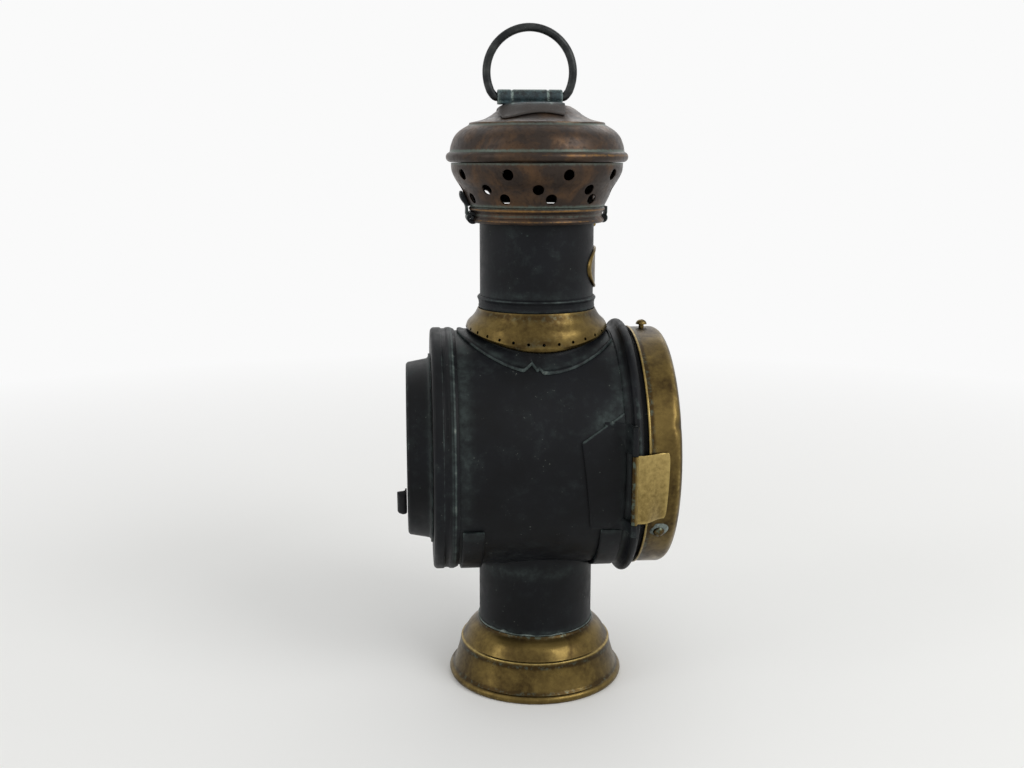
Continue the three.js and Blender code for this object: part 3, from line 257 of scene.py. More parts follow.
def eased(section, radius, sharpest=32, steps=3):
    """A closed section with its sharp corners rounded."""
    out = []
    count = len(section)
    for i, corner in enumerate(section):
        here = Vector(corner)
        back = Vector(section[i - 1]) - here
        ahead = Vector(section[(i + 1) % count]) - here
        if back.length < 1e-6 or ahead.length < 1e-6:
            continue
        bend = 180 - degrees(back.angle(ahead))
        if bend < sharpest or corner[0] <= 0:
            out.append(corner)
            continue
        reach = min(radius, back.length * 0.45, ahead.length * 0.45)
        start = here + back.normalized() * reach
        end = here + ahead.normalized() * reach
        for k in range(steps + 1):
            t = k / steps
            point = start * (1 - t) ** 2 + here * 2 * t * (1 - t) + end * t * t
            out.append((point.x, point.y))
    return out


def apart(angle, other):
    """The shorter turn from one angle to another."""
    return (angle - other + pi) % tau - pi


def bell(value, centre, width):
    """A smooth bump of height 1 at the centre, which is gone at about twice its width."""
    return exp(-((value - centre) / width) ** 2)


def rise(value, start, end):
    """0 before the start, 1 after the end and smooth between."""
    t = min(max((value - start) / (end - start), 0.0), 1.0)
    return t * t * (3 - 2 * t)


# Meshes, from points in millimetres

def as_object(name, points, faces, smooth=35):
    """An object with shared points welded, normals out and only its sharp edges creased."""
    mesh = bpy.data.meshes.new(name)
    bm = bmesh.new()
    verts = [bm.verts.new(Vector(p) * MM) for p in points]
    for face in faces:
        try:
            bm.faces.new([verts[i] for i in face])
        except ValueError:
            continue
    bmesh.ops.remove_doubles(bm, verts=bm.verts, dist=1e-7)
    bmesh.ops.dissolve_degenerate(bm, edges=bm.edges, dist=1e-8)
    bmesh.ops.recalc_face_normals(bm, faces=bm.faces)
    crease(bm, smooth)
    bm.to_mesh(mesh)
    bm.free()
    obj = bpy.data.objects.new(name, mesh)
    bpy.context.scene.collection.objects.link(obj)
    return obj


def crease(bm, angle):
    """Smooth faces, with edges sharper than the angle kept crisp."""
    limit = radians(angle)
    for face in bm.faces:
        face.smooth = True
    for edge in bm.edges:
        if len(edge.link_faces) == 2:
            edge.smooth = edge.calc_face_angle(0.0) < limit


def place(about, angle, radius, station):
    """A point of a piece turned about the chimney or the drum, where angle 0 is the front or the top."""
    if about == "chimney":
        return (radius * cos(angle), radius * sin(angle), station)
    return (station, radius * sin(angle), DRUM_Z + radius * cos(angle))


def turned(name, section, about="chimney", facets=None, smooth=35):
    """A closed section turned about an axis; the section may depend on the angle."""
    facets = facets or sizes().facets
    points = []
    for i in range(facets):
        angle = tau * i / facets
        here = section(angle) if callable(section) else section
        points += [place(about, angle, r, s) for r, s in here]
    count = len(points) // facets
    faces = []
    for i in range(facets):
        a, b = i * count, (i + 1) % facets * count
        for j in range(count):
            k = (j + 1) % count
            faces.append((a + j, a + k, b + k, b + j))
    return as_object(name, points, faces, smooth)


def slab(name, across, along, point, edge=None):
    """A bent sheet, where point(u, v, side) gives a place on its back (side 0) or face (side 1).
    Its edges are rounded by the edge size where no edge is given, and stay sharp with an edge of 0."""
    points = [point(i / across, j / along, side) for side in (0, 1) for i in range(across + 1)
              for j in range(along + 1)]
    row = along + 1
    half = (across + 1) * row
    faces = []
    for i in range(across):
        for j in range(along):
            a = i * row + j
            faces.append((a, a + 1, a + row + 1, a + row))
            faces.append((half + a, half + a + row, half + a + row + 1, half + a + 1))
    rim = [*range(along)] + [i * row + along for i in range(across)]
    rim += [across * row + j for j in range(along, 0, -1)] + [i * row for i in range(across, 0, -1)]
    for a, b in zip(rim, rim[1:] + rim[:1]):
        faces.append((a, half + a, half + b, b))
    obj = as_object(name, points, faces)
    return obj if edge == 0 else rounded(obj, edge)


def swept(name, path, radius, sides=None, domed=True):
    """A round rod along a path; radius may be a list, one for each point."""
    sides = sides or sizes().small_facets
    path = [Vector(p) for p in path]
    count = len(path)
    radii = radius if isinstance(radius, list) else [radius] * count
    if domed:
        start = (path[0] - path[1]).normalized()
        end = (path[-1] - path[-2]).normalized()
        caps = [(0.0, 1.0), (0.5, 0.87), (0.87, 0.5), (0.995, 0.1)]
        head = [(path[0] + start * radii[0] * a * 0.35, radii[0] * b) for a, b in caps[:0:-1]]
        tail = [(path[-1] + end * radii[-1] * a * 0.35, radii[-1] * b) for a, b in caps[1:]]
        path = [p for p, _ in head] + path + [p for p, _ in tail]
        radii = [r for _, r in head] + radii + [r for _, r in tail]
        count = len(path)
    points = []
    side = None
    for i, p in enumerate(path):
        along = (path[min(i + 1, count - 1)] - path[max(i - 1, 0)]).normalized()
        if side is None:
            side = along.orthogonal().normalized()
        side = (side - along * side.dot(along)).normalized()
        up = along.cross(side)
        for k in range(sides):
            t = tau * k / sides
            points.append(p + (side * cos(t) + up * sin(t)) * radii[i])
    faces = []
    for i in range(count - 1):
        a, b = i * sides, (i + 1) * sides
        for k in range(sides):
            m = (k + 1) % sides
            faces.append((a + k, a + m, b + m, b + k))
    faces.append(tuple(range(sides)))
    faces.append(tuple(range((count - 1) * sides, count * sides)))
    return as_object(name, points, faces)


def rod(name, start, end, radius, sides=24):
    """A straight pin with softly domed ends, which reach past it by a third of its radius."""
    return swept(name, [start, end], radius, sides)


def evaluated(obj, smooth=35):
    """The object with its modifiers applied."""
    graph = bpy.context.evaluated_depsgraph_get()
    mesh = bpy.data.meshes.new_from_object(obj.evaluated_get(graph))
    obj.modifiers.clear()
    old = obj.data
    obj.data = mesh
    bpy.data.meshes.remove(old)
    bm = bmesh.new()
    bm.from_mesh(mesh)
    crease(bm, smooth)
    bm.to_mesh(mesh)
    bm.free()
    return obj


def rounded(obj, width=None, sharpest=38):
    """Sharp edges bevelled, by the edge size where no width is given."""
    bevel = obj.modifiers.new("edge", "BEVEL")
    bevel.width = (width or sizes().edge / MM) * MM
    bevel.segments = 2
    bevel.limit_method = "ANGLE"
    bevel.angle_limit = radians(sharpest)
    return evaluated(obj, 60)


def combined(obj, others, operation, tangled=False):
    """A boolean with closed helpers, which are used up; tangled where a helper crosses itself."""
    for other in others:
        tool = obj.modifiers.new("tool", "BOOLEAN")
        tool.operation = operation
        tool.solver = "EXACT"
        tool.use_self = tangled
        tool.object = other
    evaluated(obj)
    for other in others:
        bpy.data.meshes.remove(other.data)
    if not obj.data.polygons:
        raise RuntimeError(f"nothing is left of {obj.name}")
    return obj


def carved(obj, *tools, tangled=False):
    """The piece with closed helpers taken out of it."""
    return combined(obj, tools, "DIFFERENCE", tangled)


def fused(obj, *others):
    """The piece and closed helpers as one solid."""
    return combined(obj, others, "UNION")


def gathered(name, objects):
    """Several meshes as one object, without cutting them into each other."""
    bm = bmesh.new()
    for obj in objects:
        bm.from_mesh(obj.data)
        bpy.data.meshes.remove(obj.data)
    mesh = bpy.data.meshes.new(name)
    bm.to_mesh(mesh)
    bm.free()
    obj = bpy.data.objects.new(name, mesh)
    bpy.context.scene.collection.objects.link(obj)
    return obj


def drill(start, end, radius, sides=None):
    """A plain closed cylinder to cut with."""
    return swept("drill", [start, end], radius, sides, domed=False)


def dressed(obj, body, slot, finish, *nodes, **marks):
    """The piece takes its finish, its body and the place of its frame nodes.
    The marks, worn and dull, are functions of a place in millimetres, from 0 to 1, which the finish reads.
    The first mark holds rubbed wear and, on some pieces, painted highlight."""
    for name, value in marks.items():
        layer = obj.data.attributes.new(name, "FLOAT", "POINT")
        layer.data.foreach_set("value", [min(max(value(v.co / MM), 0.0), 1.0) for v in obj.data.vertices])
    obj.data.materials.clear()
    obj.data.materials.append(finish())
    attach(obj, body)
    if nodes:
        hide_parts(*nodes)
    return obj


def knuckled(leaf, x, y, bottom, top, radius, bore):
    """Adds an upright knuckle to a hinge's leaf and drills it right through."""
    spare = 9
    fused(leaf, drill((x, y, bottom), (x, y, top), radius, 36))
    return carved(leaf, drill((x, y, bottom - spare), (x, y, top + spare), bore, 28))


def drum_radius(point):
    """Distance from the drum's axis."""
    return hypot(point[Y], point[Z] - DRUM_Z)


def chimney_radius(point):
    """Distance from the chimney's axis."""
    return hypot(point[X], point[Y])


def crest(y, radius):
    """Height of a drum-shaped surface over a point of the plan."""
    return DRUM_Z + sqrt(max(radius ** 2 - y * y, 0.0))


# Finishes

def per(millimetres):
    """Noise scale that gives a pattern of this size."""
    return 1 / (millimetres * MM)


def fed(made, inputs):
    """The node's inputs, in order or by name, become values or links from other nodes."""
    for key, value in inputs.items() if isinstance(inputs, dict) else enumerate(inputs):
        socket = made.inputs[key]
        if isinstance(value, bpy.types.NodeSocket):
            made.id_data.links.new(value, socket)
        else:
            socket.default_value = (*value, 1.0) if socket.type == "RGBA" else value


def node(tree, kind, inputs=(), **settings):
    """Adds one node with its settings and inputs, and gives its outputs."""
    made = tree.nodes.new(f"ShaderNode{kind}")
    for name, value in settings.items():
        setattr(made, name, value)
    fed(made, inputs)
    return made.outputs


def started(name):
    """A new material, what adds its nodes, its shader, and the place on the object as a socket."""
    made = bpy.data.materials.new(name)
    made.use_nodes = True
    add = functools.partial(node, made.node_tree)
    return made, add, made.node_tree.nodes["Principled BSDF"], add("TexCoord")["Object"]


def once(make):
    """A finish is made the first time it is asked for and shared after that."""
    def shared():
        return bpy.data.materials.get(make.__name__) or make()
    return shared


def grain(where, size, detail, roughness=0.55, distortion=0.0):
    """Inputs of a noise whose grain has a size in millimetres."""
    return {"Vector": where, "Scale": per(size), "Detail": detail, "Roughness": roughness,
            "Distortion": distortion}


def marks(add):
    """The two values that a piece's mesh carries: how worn and how dull each place is. The first also holds
    painted highlight on some pieces.
    """
    return [add("Attribute", attribute_name=name)["Fac"] for name in ("worn", "dull")]


# Socket numbers of a colour mix
FACTOR, FIRST, SECOND, MIXED = 0, 6, 7, 2


def coated(add, shade, *coats):
    """A colour with coats over it, each as the share that it covers and its colour."""
    for share, coat in coats:
        shade = add("Mix", {FACTOR: share, FIRST: shade, SECOND: coat}, data_type="RGBA")[MIXED]
    return shade


def embossed(add, shader, *reliefs):
    """Reliefs over each other, each as its pattern, its depth in millimetres and its strength."""
    below = {}
    for height, depth, strength in reliefs:
        inputs = {"Height": height, "Distance": depth * MM, "Strength": strength, **below}
        below = {"Normal": add("Bump", inputs)[0]}
    fed(shader, below)


# Brushed black varnish on tinplate, a century old: it reflects softly, has gone blue grey and mottled where
# it is thin, and shows grey green metal on rims and folds, with pale flecks where it has chipped.
# The pale rim colours also stand for painted highlight on the rear rim, and the chalk veil for painted sheen
# on the drum beside it.
@once
def worn_black_paint():
    f = finishes()
    made, add, shader, where = started("worn_black_paint")
    worn, dull = marks(add)
    cloudy = add("TexNoise", grain(where, 34.0, 4.0))[0]
    mottled = add("TexNoise", grain(where, 5.5, 6.0, 0.65))[0]
    speckled = add("TexNoise", grain(where, 1.1, 2.0))[0]
    thin = add("MapRange", [mottled, 0.5, 0.78])[0]
    aged = add("MapRange", [cloudy, 0.4, 0.72, 0.03, 0.4])[0]
    film = add("Math", [thin, aged], operation="MULTIPLY")[0]
    haze = add("MapRange", [mottled, 0.36, 0.64, 0.08, 0.55])[0]
    veil = add("Math", [dull, haze], operation="MULTIPLY")[0]
    uneven = add("MapRange", [mottled, 0.3, 0.75, -0.5, 0.35])[0]
    rubbed_and_lit = add("Math", [worn, uneven], operation="ADD")[0]
    dots = add("MapRange", [speckled, 0.68, 0.74])[0]
    patches = add("MapRange", [mottled, 0.54, 0.66])[0]
    chips = add("Math", [dots, patches], operation="MULTIPLY")[0]
    shade = coated(add, f.paint,
                   (add("MapRange", [cloudy, 0.35, 0.7])[0], f.paint_faded),
                   (add("Math", [film, veil], operation="ADD")[0], f.paint_chalk),
                   (add("MapRange", [rubbed_and_lit, 0.42, 0.95, 0.0, 0.85])[0], f.paint_chalk),
                   (add("MapRange", [rubbed_and_lit, 0.95, 1.5, 0.0, 0.9])[0], f.paint_bare),
                   (add("Math", [chips, 0.5], operation="MULTIPLY")[0], f.paint_bare))
    fed(shader, {"Base Color": shade, "Roughness": add("MapRange", [mottled, 0.25, 0.8, 0.36, 0.62])[0],
                 "IOR": 1.5, "Specular IOR Level": 0.14})
    embossed(add, shader, (mottled, 0.12, 0.6), (speckled, 0.03, 0.5))
    return made


# Spun brass left unpolished: gold where hands and cloth have rubbed it, olive and brown where it has
# tarnished in clouds, dark specks where it is pitted, and very fine rings from the spinning chuck.
# The rubbed gold also stands for painted highlight on the collar's belly and on the lens hinge leaf.
def tarnished_brass(name, about, bright=0.0):
    f = finishes()
    made, add, shader, where = started(name)
    worn, dull = marks(add)
    cloudy = add("TexNoise", grain(where, 16.0, 5.0, 0.6, 0.4))[0]
    grit = add("TexNoise", grain(where, 2.4, 5.0, 0.65))[0]
    pits = add("TexNoise", grain(where, 0.9, 1.0))[0]
    clouds = add("Math", [cloudy, 0.7], operation="MULTIPLY")[0]
    wisps = add("Math", [grit, 0.3], operation="MULTIPLY")[0]
    tarnish = add("Math", [clouds, wisps], operation="ADD")[0]
    deep = add("MapRange", [tarnish, 0.66 - bright, 0.36 - bright])[0]
    deep = add("Math", [deep, dull], operation="ADD")[0]
    deep = add("Math", [deep, worn], operation="SUBTRACT")[0]
    uneven = add("MapRange", [grit, 0.3, 0.8, -0.35, 0.25])[0]
    rubbed_and_lit = add("Math", [worn, uneven], operation="ADD")[0]
    patchy = add("MapRange", [grit, 0.5, 0.62, 0.0, 0.7])[0]
    shade = coated(add, f.brass,
                   (add("MapRange", [deep, 0.05, 0.95])[0], f.brass_dark),
                   (add("MapRange", [rubbed_and_lit, 0.35, 0.95, 0.0, 0.9])[0], f.brass_bright),
                   (add("Math", [dull, patchy], operation="MULTIPLY")[0], f.patina),
                   (add("MapRange", [pits, 0.72, 0.78, 0.0, 0.55])[0], f.brass_dark))
    fed(shader, {"Base Color": shade, "Metallic": 1.0,
                 "Roughness": add("MapRange", [tarnish, 0.35, 0.68, 0.46, 0.24])[0]})
    embossed(add, shader, (grit, 0.03, 0.5), (rings(add, where, about, 0.55), 0.012, 0.45))
    return made


def rings(add, where, about, size):
    """Fine rings round the drum's or the chimney's axis, as a spinning tool leaves them.
    Real ones are about 0.1 mm apart and are drawn wider here so that they show."""
    x, y, z = add("SeparateXYZ", [where])[:]
    if about == "drum":
        across, station = [y, add("Math", [z, DRUM_Z * MM], operation="SUBTRACT")[0]], x
    else:
        across, station = [x, y], z
    flat = add("CombineXYZ", across)[0]
    radius = add("VectorMath", [flat], operation="LENGTH")["Value"]
    section = add("CombineXYZ", [radius, station])[0]
    return add("TexNoise", grain(section, size, 1.0))[0]


@once
def spun_brass():
    return tarnished_brass("spun_brass", "chimney")


@once
def bezel_brass():
    return tarnished_brass("bezel_brass", "drum")


# Brass that hands have kept bright: the hinge leaf and the catch
@once
def rubbed_brass():
    return tarnished_brass("rubbed_brass", "drum", 0.2)


# Copper cap with a thick brown patina: chocolate over the dome, redder where it is thin, gold where it has
# rubbed through to the metal, and a grey green film in every crease.
# On the right of the basket and of the crown's bead the gold is painted highlight, over rubbed metal on the
# bead.
@once
def brown_copper():
    f = finishes()
    specks, gold = linear("1d1714"), linear("96703c")
    made, add, shader, where = started("brown_copper")
    worn, dull = marks(add)
    cloudy = add("TexNoise", grain(where, 13.0, 5.0, 0.6, 0.6))[0]
    grit = add("TexNoise", grain(where, 1.9, 5.0, 0.7))[0]
    uneven = add("MapRange", [grit, 0.3, 0.8, -0.4, 0.25])[0]
    rubbed_and_lit = add("Math", [worn, uneven], operation="ADD")[0]
    flaky = add("MapRange", [grit, 0.3, 0.75, -0.35, 0.3])[0]
    creased = add("Math", [dull, flaky], operation="ADD")[0]
    shade = coated(add, f.copper,
                   (add("MapRange", [cloudy, 0.45, 0.68])[0], f.copper_warm),
                   (add("MapRange", [grit, 0.5, 0.75, 0.0, 0.5])[0], specks),
                   (add("MapRange", [rubbed_and_lit, 0.35, 0.95, 0.0, 0.8])[0], gold),
                   (add("MapRange", [creased, 0.25, 0.9, 0.0, 0.85])[0], f.patina))
    fed(shader, {"Base Color": shade, "Metallic": add("MapRange", [creased, 0.1, 0.9, 0.9, 0.45])[0],
                 "Roughness": add("MapRange", [grit, 0.3, 0.75, 0.3, 0.55])[0]})
    embossed(add, shader, (grit, 0.05, 0.6), (rings(add, where, "chimney", 0.6), 0.015, 0.4))
    return made


# Cast and sheet fittings under an even film of verdigris: dull, blue green, darker in hollows
@once
def greened_metal():
    f = finishes()
    hollows, crust, bare = linear("161c1e"), linear("6d8783"), linear("93a39c")
    made, add, shader, where = started("greened_metal")
    worn, dull = marks(add)
    cloudy = add("TexNoise", grain(where, 4.5, 5.0, 0.65))[0]
    grit = add("TexNoise", grain(where, 0.9, 4.0, 0.7))[0]
    browned = add("MapRange", [grit, 0.25, 0.6, 1.0, 0.8])[0]
    scuffed = add("MapRange", [grit, 0.35, 0.6])[0]
    shade = coated(add, hollows,
                   (add("MapRange", [cloudy, 0.38, 0.66])[0], f.verdigris),
                   (add("MapRange", [grit, 0.55, 0.76, 0.0, 0.5])[0], crust),
                   (add("Math", [dull, browned], operation="MULTIPLY")[0], f.copper),
                   (add("Math", [worn, scuffed], operation="MULTIPLY")[0], bare))
    fed(shader, {"Base Color": shade, "Metallic": 0.35,
                 "Roughness": add("MapRange", [grit, 0.3, 0.75, 0.4, 0.7])[0]})
    embossed(add, shader, (grit, 0.06, 0.7))
    return made


# Drawn iron wire, blackened and handled: smooth and dark with a soft shine and a few rusty freckles
@once
def blackened_wire():
    greyed, rust = linear("3b3d3c"), linear("4b3526")
    made, add, shader, where = started("blackened_wire")
    cloudy = add("TexNoise", grain(where, 7.0, 4.0))[0]
    grit = add("TexNoise", grain(where, 1.2, 4.0, 0.7))[0]
    shade = coated(add, finishes().steel,
                   (add("MapRange", [cloudy, 0.4, 0.68])[0], greyed),
                   (add("MapRange", [grit, 0.64, 0.74, 0.0, 0.5])[0], rust))
    fed(shader, {"Base Color": shade, "Metallic": 0.75,
                 "Roughness": add("MapRange", [grit, 0.3, 0.75, 0.32, 0.52])[0]})
    embossed(add, shader, (grit, 0.03, 0.6))
    return made


# Hot-dipped tinplate inside the lamp: pale grey, dull, with soot clouds and the crystal pattern of the tin
@once
def dull_tin():
    shadow, soot, stain = linear("6d6e6a"), linear("3a3733"), linear("5a4a38")
    made, add, shader, where = started("dull_tin")
    crystals = add("TexVoronoi", {"Vector": where, "Scale": per(7.0)})["Color"]
    level = add("SeparateColor", [crystals])[0]
    cloudy = add("TexNoise", grain(where, 15.0, 5.0, 0.6))[0]
    grit = add("TexNoise", grain(where, 1.0, 4.0, 0.7))[0]
    shade = coated(add, finishes().tin,
                   (add("MapRange", [level, 0.0, 1.0, 0.0, 0.35])[0], shadow),
                   (add("MapRange", [cloudy, 0.45, 0.75, 0.0, 0.7])[0], soot),
                   (add("MapRange", [grit, 0.62, 0.76, 0.0, 0.5])[0], stain))
    fed(shader, {"Base Color": shade, "Metallic": 0.9,
                 "Roughness": add("MapRange", [level, 0.0, 1.0, 0.3, 0.46])[0]})
    embossed(add, shader, (grit, 0.02, 0.5))
    return made


# Bar-wiped soft solder that has gone chalky: light grey lumps with a green edge
@once
def soft_solder():
    green, chalk = linear("3f4945"), linear("aab1aa")
    made, add, shader, where = started("soft_solder")
    cloudy = add("TexNoise", grain(where, 2.6, 4.0, 0.65))[0]
    grit = add("TexNoise", grain(where, 0.7, 4.0, 0.7))[0]
    shade = coated(add, green,
                   (add("MapRange", [cloudy, 0.4, 0.66])[0], finishes().solder),
                   (add("MapRange", [grit, 0.6, 0.75])[0], chalk))
    fed(shader, {"Base Color": shade, "Metallic": 0.3,
                 "Roughness": add("MapRange", [grit, 0.3, 0.75, 0.5, 0.75])[0]})
    embossed(add, shader, (grit, 0.12, 0.8))
    return made


# Pressed lens glass: clear, faintly green, with a little swirl in its surface
@once
def pressed_glass():
    made, add, shader, where = started("pressed_glass")
    swirl = add("TexNoise", grain(where, 26.0, 0.0, 0.4, 0.8))[0]
    dust = add("TexNoise", grain(where, 9.0, 2.0))[0]
    fed(shader, {"Base Color": linear("e9f3ee"), "Transmission Weight": 1.0, "IOR": 1.52,
                 "Specular IOR Level": 0.2, "Roughness": add("MapRange", [dust, 0.5, 0.75, 0.01, 0.05])[0]})
    embossed(add, shader, (swirl, 0.05, 0.2))
    return made


# Flat woven cotton: threads crossing at about 0.7 mm, cream below and charred at the top
@once
def woven_wick():
    f = finishes()
    made, add, shader, where = started("woven_wick")
    threads = [add("TexWave", {"Vector": where, "Scale": per(gap) / tau, "Distortion": 0.6},
                   bands_direction=way)["Fac"] for gap, way in ((0.7, "X"), (0.9, "Z"))]
    cloth = add("Math", threads, operation="MULTIPLY")[0]
    # The darker thread colour follows the weave as painted shade between the threads.
    shade = coated(add, f.cotton,
                   (add("MapRange", [cloth, 0.0, 1.0, 0.0, 0.5])[0], linear("8f8266")),
                   (marks(add)[1], f.char))
    fed(shader, {"Base Color": shade, "Roughness": 0.95})
    embossed(add, shader, (cloth, 0.25, 0.8))
    return made


# Slot and finish of the most common surfaces
PAINTED = ("black_paint", worn_black_paint)
SPUN = ("aged_brass", spun_brass)
WIRE = ("dark_steel", blackened_wire)


# Shared shapes

def fine(outline, step):
    """The outline with points no further apart than the step."""
    out = []
    for a, b in zip(outline, outline[1:]):
        count = max(1, ceil(dist(a, b) / step))
        out += [tuple(p + (q - p) * i / count for p, q in zip(a, b)) for i in range(count)]
    return out + [outline[-1]]


def closed_fine(section, step):
    """A closed section with points no further apart than the step."""
    return fine(section + section[:1], step)[:-1]


def moved(obj, *matrices):
    """The mesh turned or shifted by each matrix in turn, with places in millimetres."""
    scale = Matrix.Scale(MM, 4)
    for matrix in matrices:
        obj.data.transform(scale @ matrix @ scale.inverted())
    return obj


def block(name, near, far, edge=0.0):
    """A closed box between two corners, with its edges softened."""
    corners = [(x, y, z) for x in (near[X], far[X]) for y in (near[Y], far[Y]) for z in (near[Z], far[Z])]
    faces = [(0, 1, 3, 2), (4, 6, 7, 5), (0, 4, 5, 1), (2, 3, 7, 6), (0, 2, 6, 4), (1, 5, 7, 3)]
    obj = as_object(name, corners, faces)
    return rounded(obj, edge) if edge else obj


def strip(name, line, thickness, along):
    """A sheet bent along a line of (a, b) points and as wide as along(t) puts it, where t is -1 to 1."""
    line = curved(line, 5)
    back = offset(line, thickness)

    def point(u, v, side):
        a, b = (back if side else line)[round(u * (len(line) - 1))]
        return along(a, b, v * 2 - 1)
    return slab(name, len(line) - 1, 6, point)


def upright_strip(name, line, thickness, low_end, high_end):
    """A strip bent in plan."""
    centre, half = (low_end + high_end) / 2, (high_end - low_end) / 2
    return strip(name, line, thickness, lambda x, y, t: (x, y, centre + half * t))


def level_strip(name, line, thickness, half):
    """A strip bent as seen from the side, and centred on the drum."""
    return strip(name, line, thickness, lambda x, z, t: (x, half * t, z))


def dished(angle, station, spots):
    """Depth of the soft dents at a place, where each spot is (angle, station, wide, long, depth)."""
    depth = 0.0
    for at, s, wide, long, deep in spots:
        depth += deep * bell(apart(angle, at), 0, wide) * bell(station, s, long)
    return depth


def dented(outline, spots):
    """A closed section that soft dents push inwards."""
    return lambda angle: [(r - dished(angle, s, spots), s) for r, s in outline]


def plain_wall(radius, start, end, step):
    """Section of a plain sheet tube between two stations."""
    return closed_fine([(radius, start), (radius, end), (radius - SHEET, end), (radius - SHEET, start)], step)


def low_dome(radius, height, base=0, step=10):
    """Half the outline of a dome, from its edge to its crown."""
    turns = [radians(a) for a in range(0, 91, step)]
    return [(radius * cos(t), base + height * sin(t)) for t in turns]


# Drum

# Dents: angle from the top towards the far side, station, reach round, reach along, share of the deepest dent
DRUM_DENTS = [(-1.25, 2, 0.22, 13, 0.9), (-2.0, -22, 0.16, 9, 0.6), (-0.75, -30, 0.2, 10, 0.5),
              (-1.7, 26, 0.12, 8, 0.55), (1.3, -8, 0.3, 15, 1.0), (2.2, 18, 0.18, 9, 0.7),
              (0.7, 24, 0.15, 8, 0.5)]
# Fall of the slanted top edge of the hinge's patch, towards the rear
PATCH_SLANT = 0.61


def make_drum_shell():
    dent = sizes().dent / MM
    wall = plain_wall(DRUM_R, DRUM_REAR, DRUM_MOUTH, 2.4)

    def section(angle):
        return [(r - dent * min(dished(angle, s, DRUM_DENTS), 1.0), s) for r, s in wall]
    shell = turned("drum_sheet", section, "drum")
    neck = drill((0, 0, DRUM_Z), (0, 0, DRUM_Z + DRUM_R * 1.1), NECK_R - SHEET, WIDE_SIDES)
    tube = drill((0, 0, DRUM_Z), (0, 0, DRUM_Z - DRUM_R * 1.1), TUBE_R + FIT, WIDE_SIDES)
    carved(shell, neck, tube)

    slant_end = high("lens_hinge_patch", Z)

    def worn(p):
        edge = bell(p[X], DRUM_MOUTH, 1.2) + bell(p[X], RIM_FRONT, 1.0) * 0.6
        edge += bell(p[X], RING_START, 1.2) * 0.7
        seat = abs(p[Z] - crest(p[Y], DRUM_R)) < 1 and p[Z] > DRUM_Z
        return max(edge, bell(chimney_radius(p), FLANGE_R, 1.5) * 0.5 if seat else 0)

    def dull(p):
        # A pale green band above the slanted top edge of the hinge's patch, and haze along both ends
        above = p[Z] - slant_end + (RING_START - p[X]) * PATCH_SLANT
        pale_band = bell(above, 3.5, 4.5) * rise(p[X], 14, 30) if p[Y] < 0 else 0
        # Beside the rear rim the haze grows towards the top: chalked paint, with painted sheen where the
        # light falls from above.
        haze = 0.9 * bell(p[X], RIM_FRONT + 2.5, 3.2) * (0.4 + 0.6 * rise(p[Z], 100, 140))
        return 1.3 * pale_band + haze + 0.4 * bell(p[X], RING_START - 2, 2.2)
    dressed(shell, "lamp_body", *PAINTED, "drum_shell", worn=worn, dull=dull)


def make_front_ring():
    seat = DRUM_R + FIT
    bead = 2.3
    peak = RING_END - bead
    flare = shares_between((seat + SHEET / 2, RING_START), (RING_R - bead, peak - bead),
                           [(0, 0), (0.12, 0.35), (0.42, 0.72), (1, 1)])
    roll = arc((RING_R - bead, peak), bead, -120, 90, 20)
    section = curved(flare) + roll + [(seat, RING_END), (seat, RING_START)]
    ring = turned("front_ring_roll", closed_fine(section, 0.7), "drum")
    wobble = random.Random(5)
    wear = [wobble.uniform(0.35, 1) for _ in range(24)]

    def patchy(p):
        turn = atan2(p[Y], p[Z] - DRUM_Z) % tau / tau * len(wear)
        first = int(turn) % len(wear)
        return wear[first] + (wear[(first + 1) % len(wear)] - wear[first]) * rise(turn % 1, 0, 1)

    def worn(p):
        r = drum_radius(p)
        return patchy(p) * (0.7 * bell(r, RING_R, 0.5) + 0.5 * bell(p[X], peak - bead, 0.4)
                            + 0.7 * bell(p[X], RING_START, 0.5))
    dressed(ring, "lamp_body", *PAINTED, "front_ring",
            worn=worn, dull=lambda p: 0.5 * bell(p[X], RING_START + 1.2, 0.8))


def make_rear_rim():
    seat = DRUM_R + FIT
    length_along = RIM_FRONT - RIM_REAR
    corner = 2.0
    groove = [(0.4, 1), (0.46, 0.6), (0.6, 0.6), (0.66, 1), (0.82, 1), (1, 0.35)]
    outside = [(seat + (RIM_R - seat) * up, RIM_REAR + length_along * along) for along, up in groove]
    opening = CUP_FLANGE_R - 7
    section = [(opening, RIM_REAR)] + arc((RIM_R - corner, RIM_REAR + corner), corner, -90, 0, 10)
    section += outside + [(seat, RIM_FRONT), (seat, RIM_REAR + SHEET), (opening, RIM_REAR + SHEET)]
    rim = turned("rear_rim_cap", closed_fine(eased(section, 0.5), 0.6), "drum")
    bright, line, below = (RIM_REAR + length_along * share for share in (0.84, 0.4, 0.74))

    # The bright line near the front is painted highlight, stronger towards the top where the light falls; the
    # groove line and the rear edge are wear.
    def worn(p):
        outer = rise(drum_radius(p), seat + 0.3, seat + 0.8)
        lit = 0.55 + 0.45 * rise(p[Z], 90, 130)
        return outer * (1.75 * lit * bell(p[X], bright, 0.6) + 0.75 * bell(p[X], line, 0.3)
                        + 0.5 * bell(p[X], RIM_REAR, 0.8))
    dressed(rim, "lamp_body", *PAINTED, "rear_rim", worn=worn, dull=lambda p: bell(p[X], below, 0.5))


# Neck: the saddle joint on top of the drum, under the brass collar

# Where the flange's edge is torn: angle from the front towards the far side
NICK_ANGLE = -1.733


def torn(angle):
    """How far the torn nick reaches into the flange's edge: a deep notch with a smaller one beside it."""
    here = angle if angle < pi else angle - tau
    reach, gap = 0.09, 0.1
    deep = max(0.0, 1 - abs(here - NICK_ANGLE) / reach)
    small = max(0.0, 0.5 - abs(here - NICK_ANGLE - gap) / reach)
    return sizes().nick / MM * max(deep, small)


def collar_drop(angle):
    """The collar's rim dips with the drum on both sides."""
    return COLLAR_DROP * sin(angle) ** 2


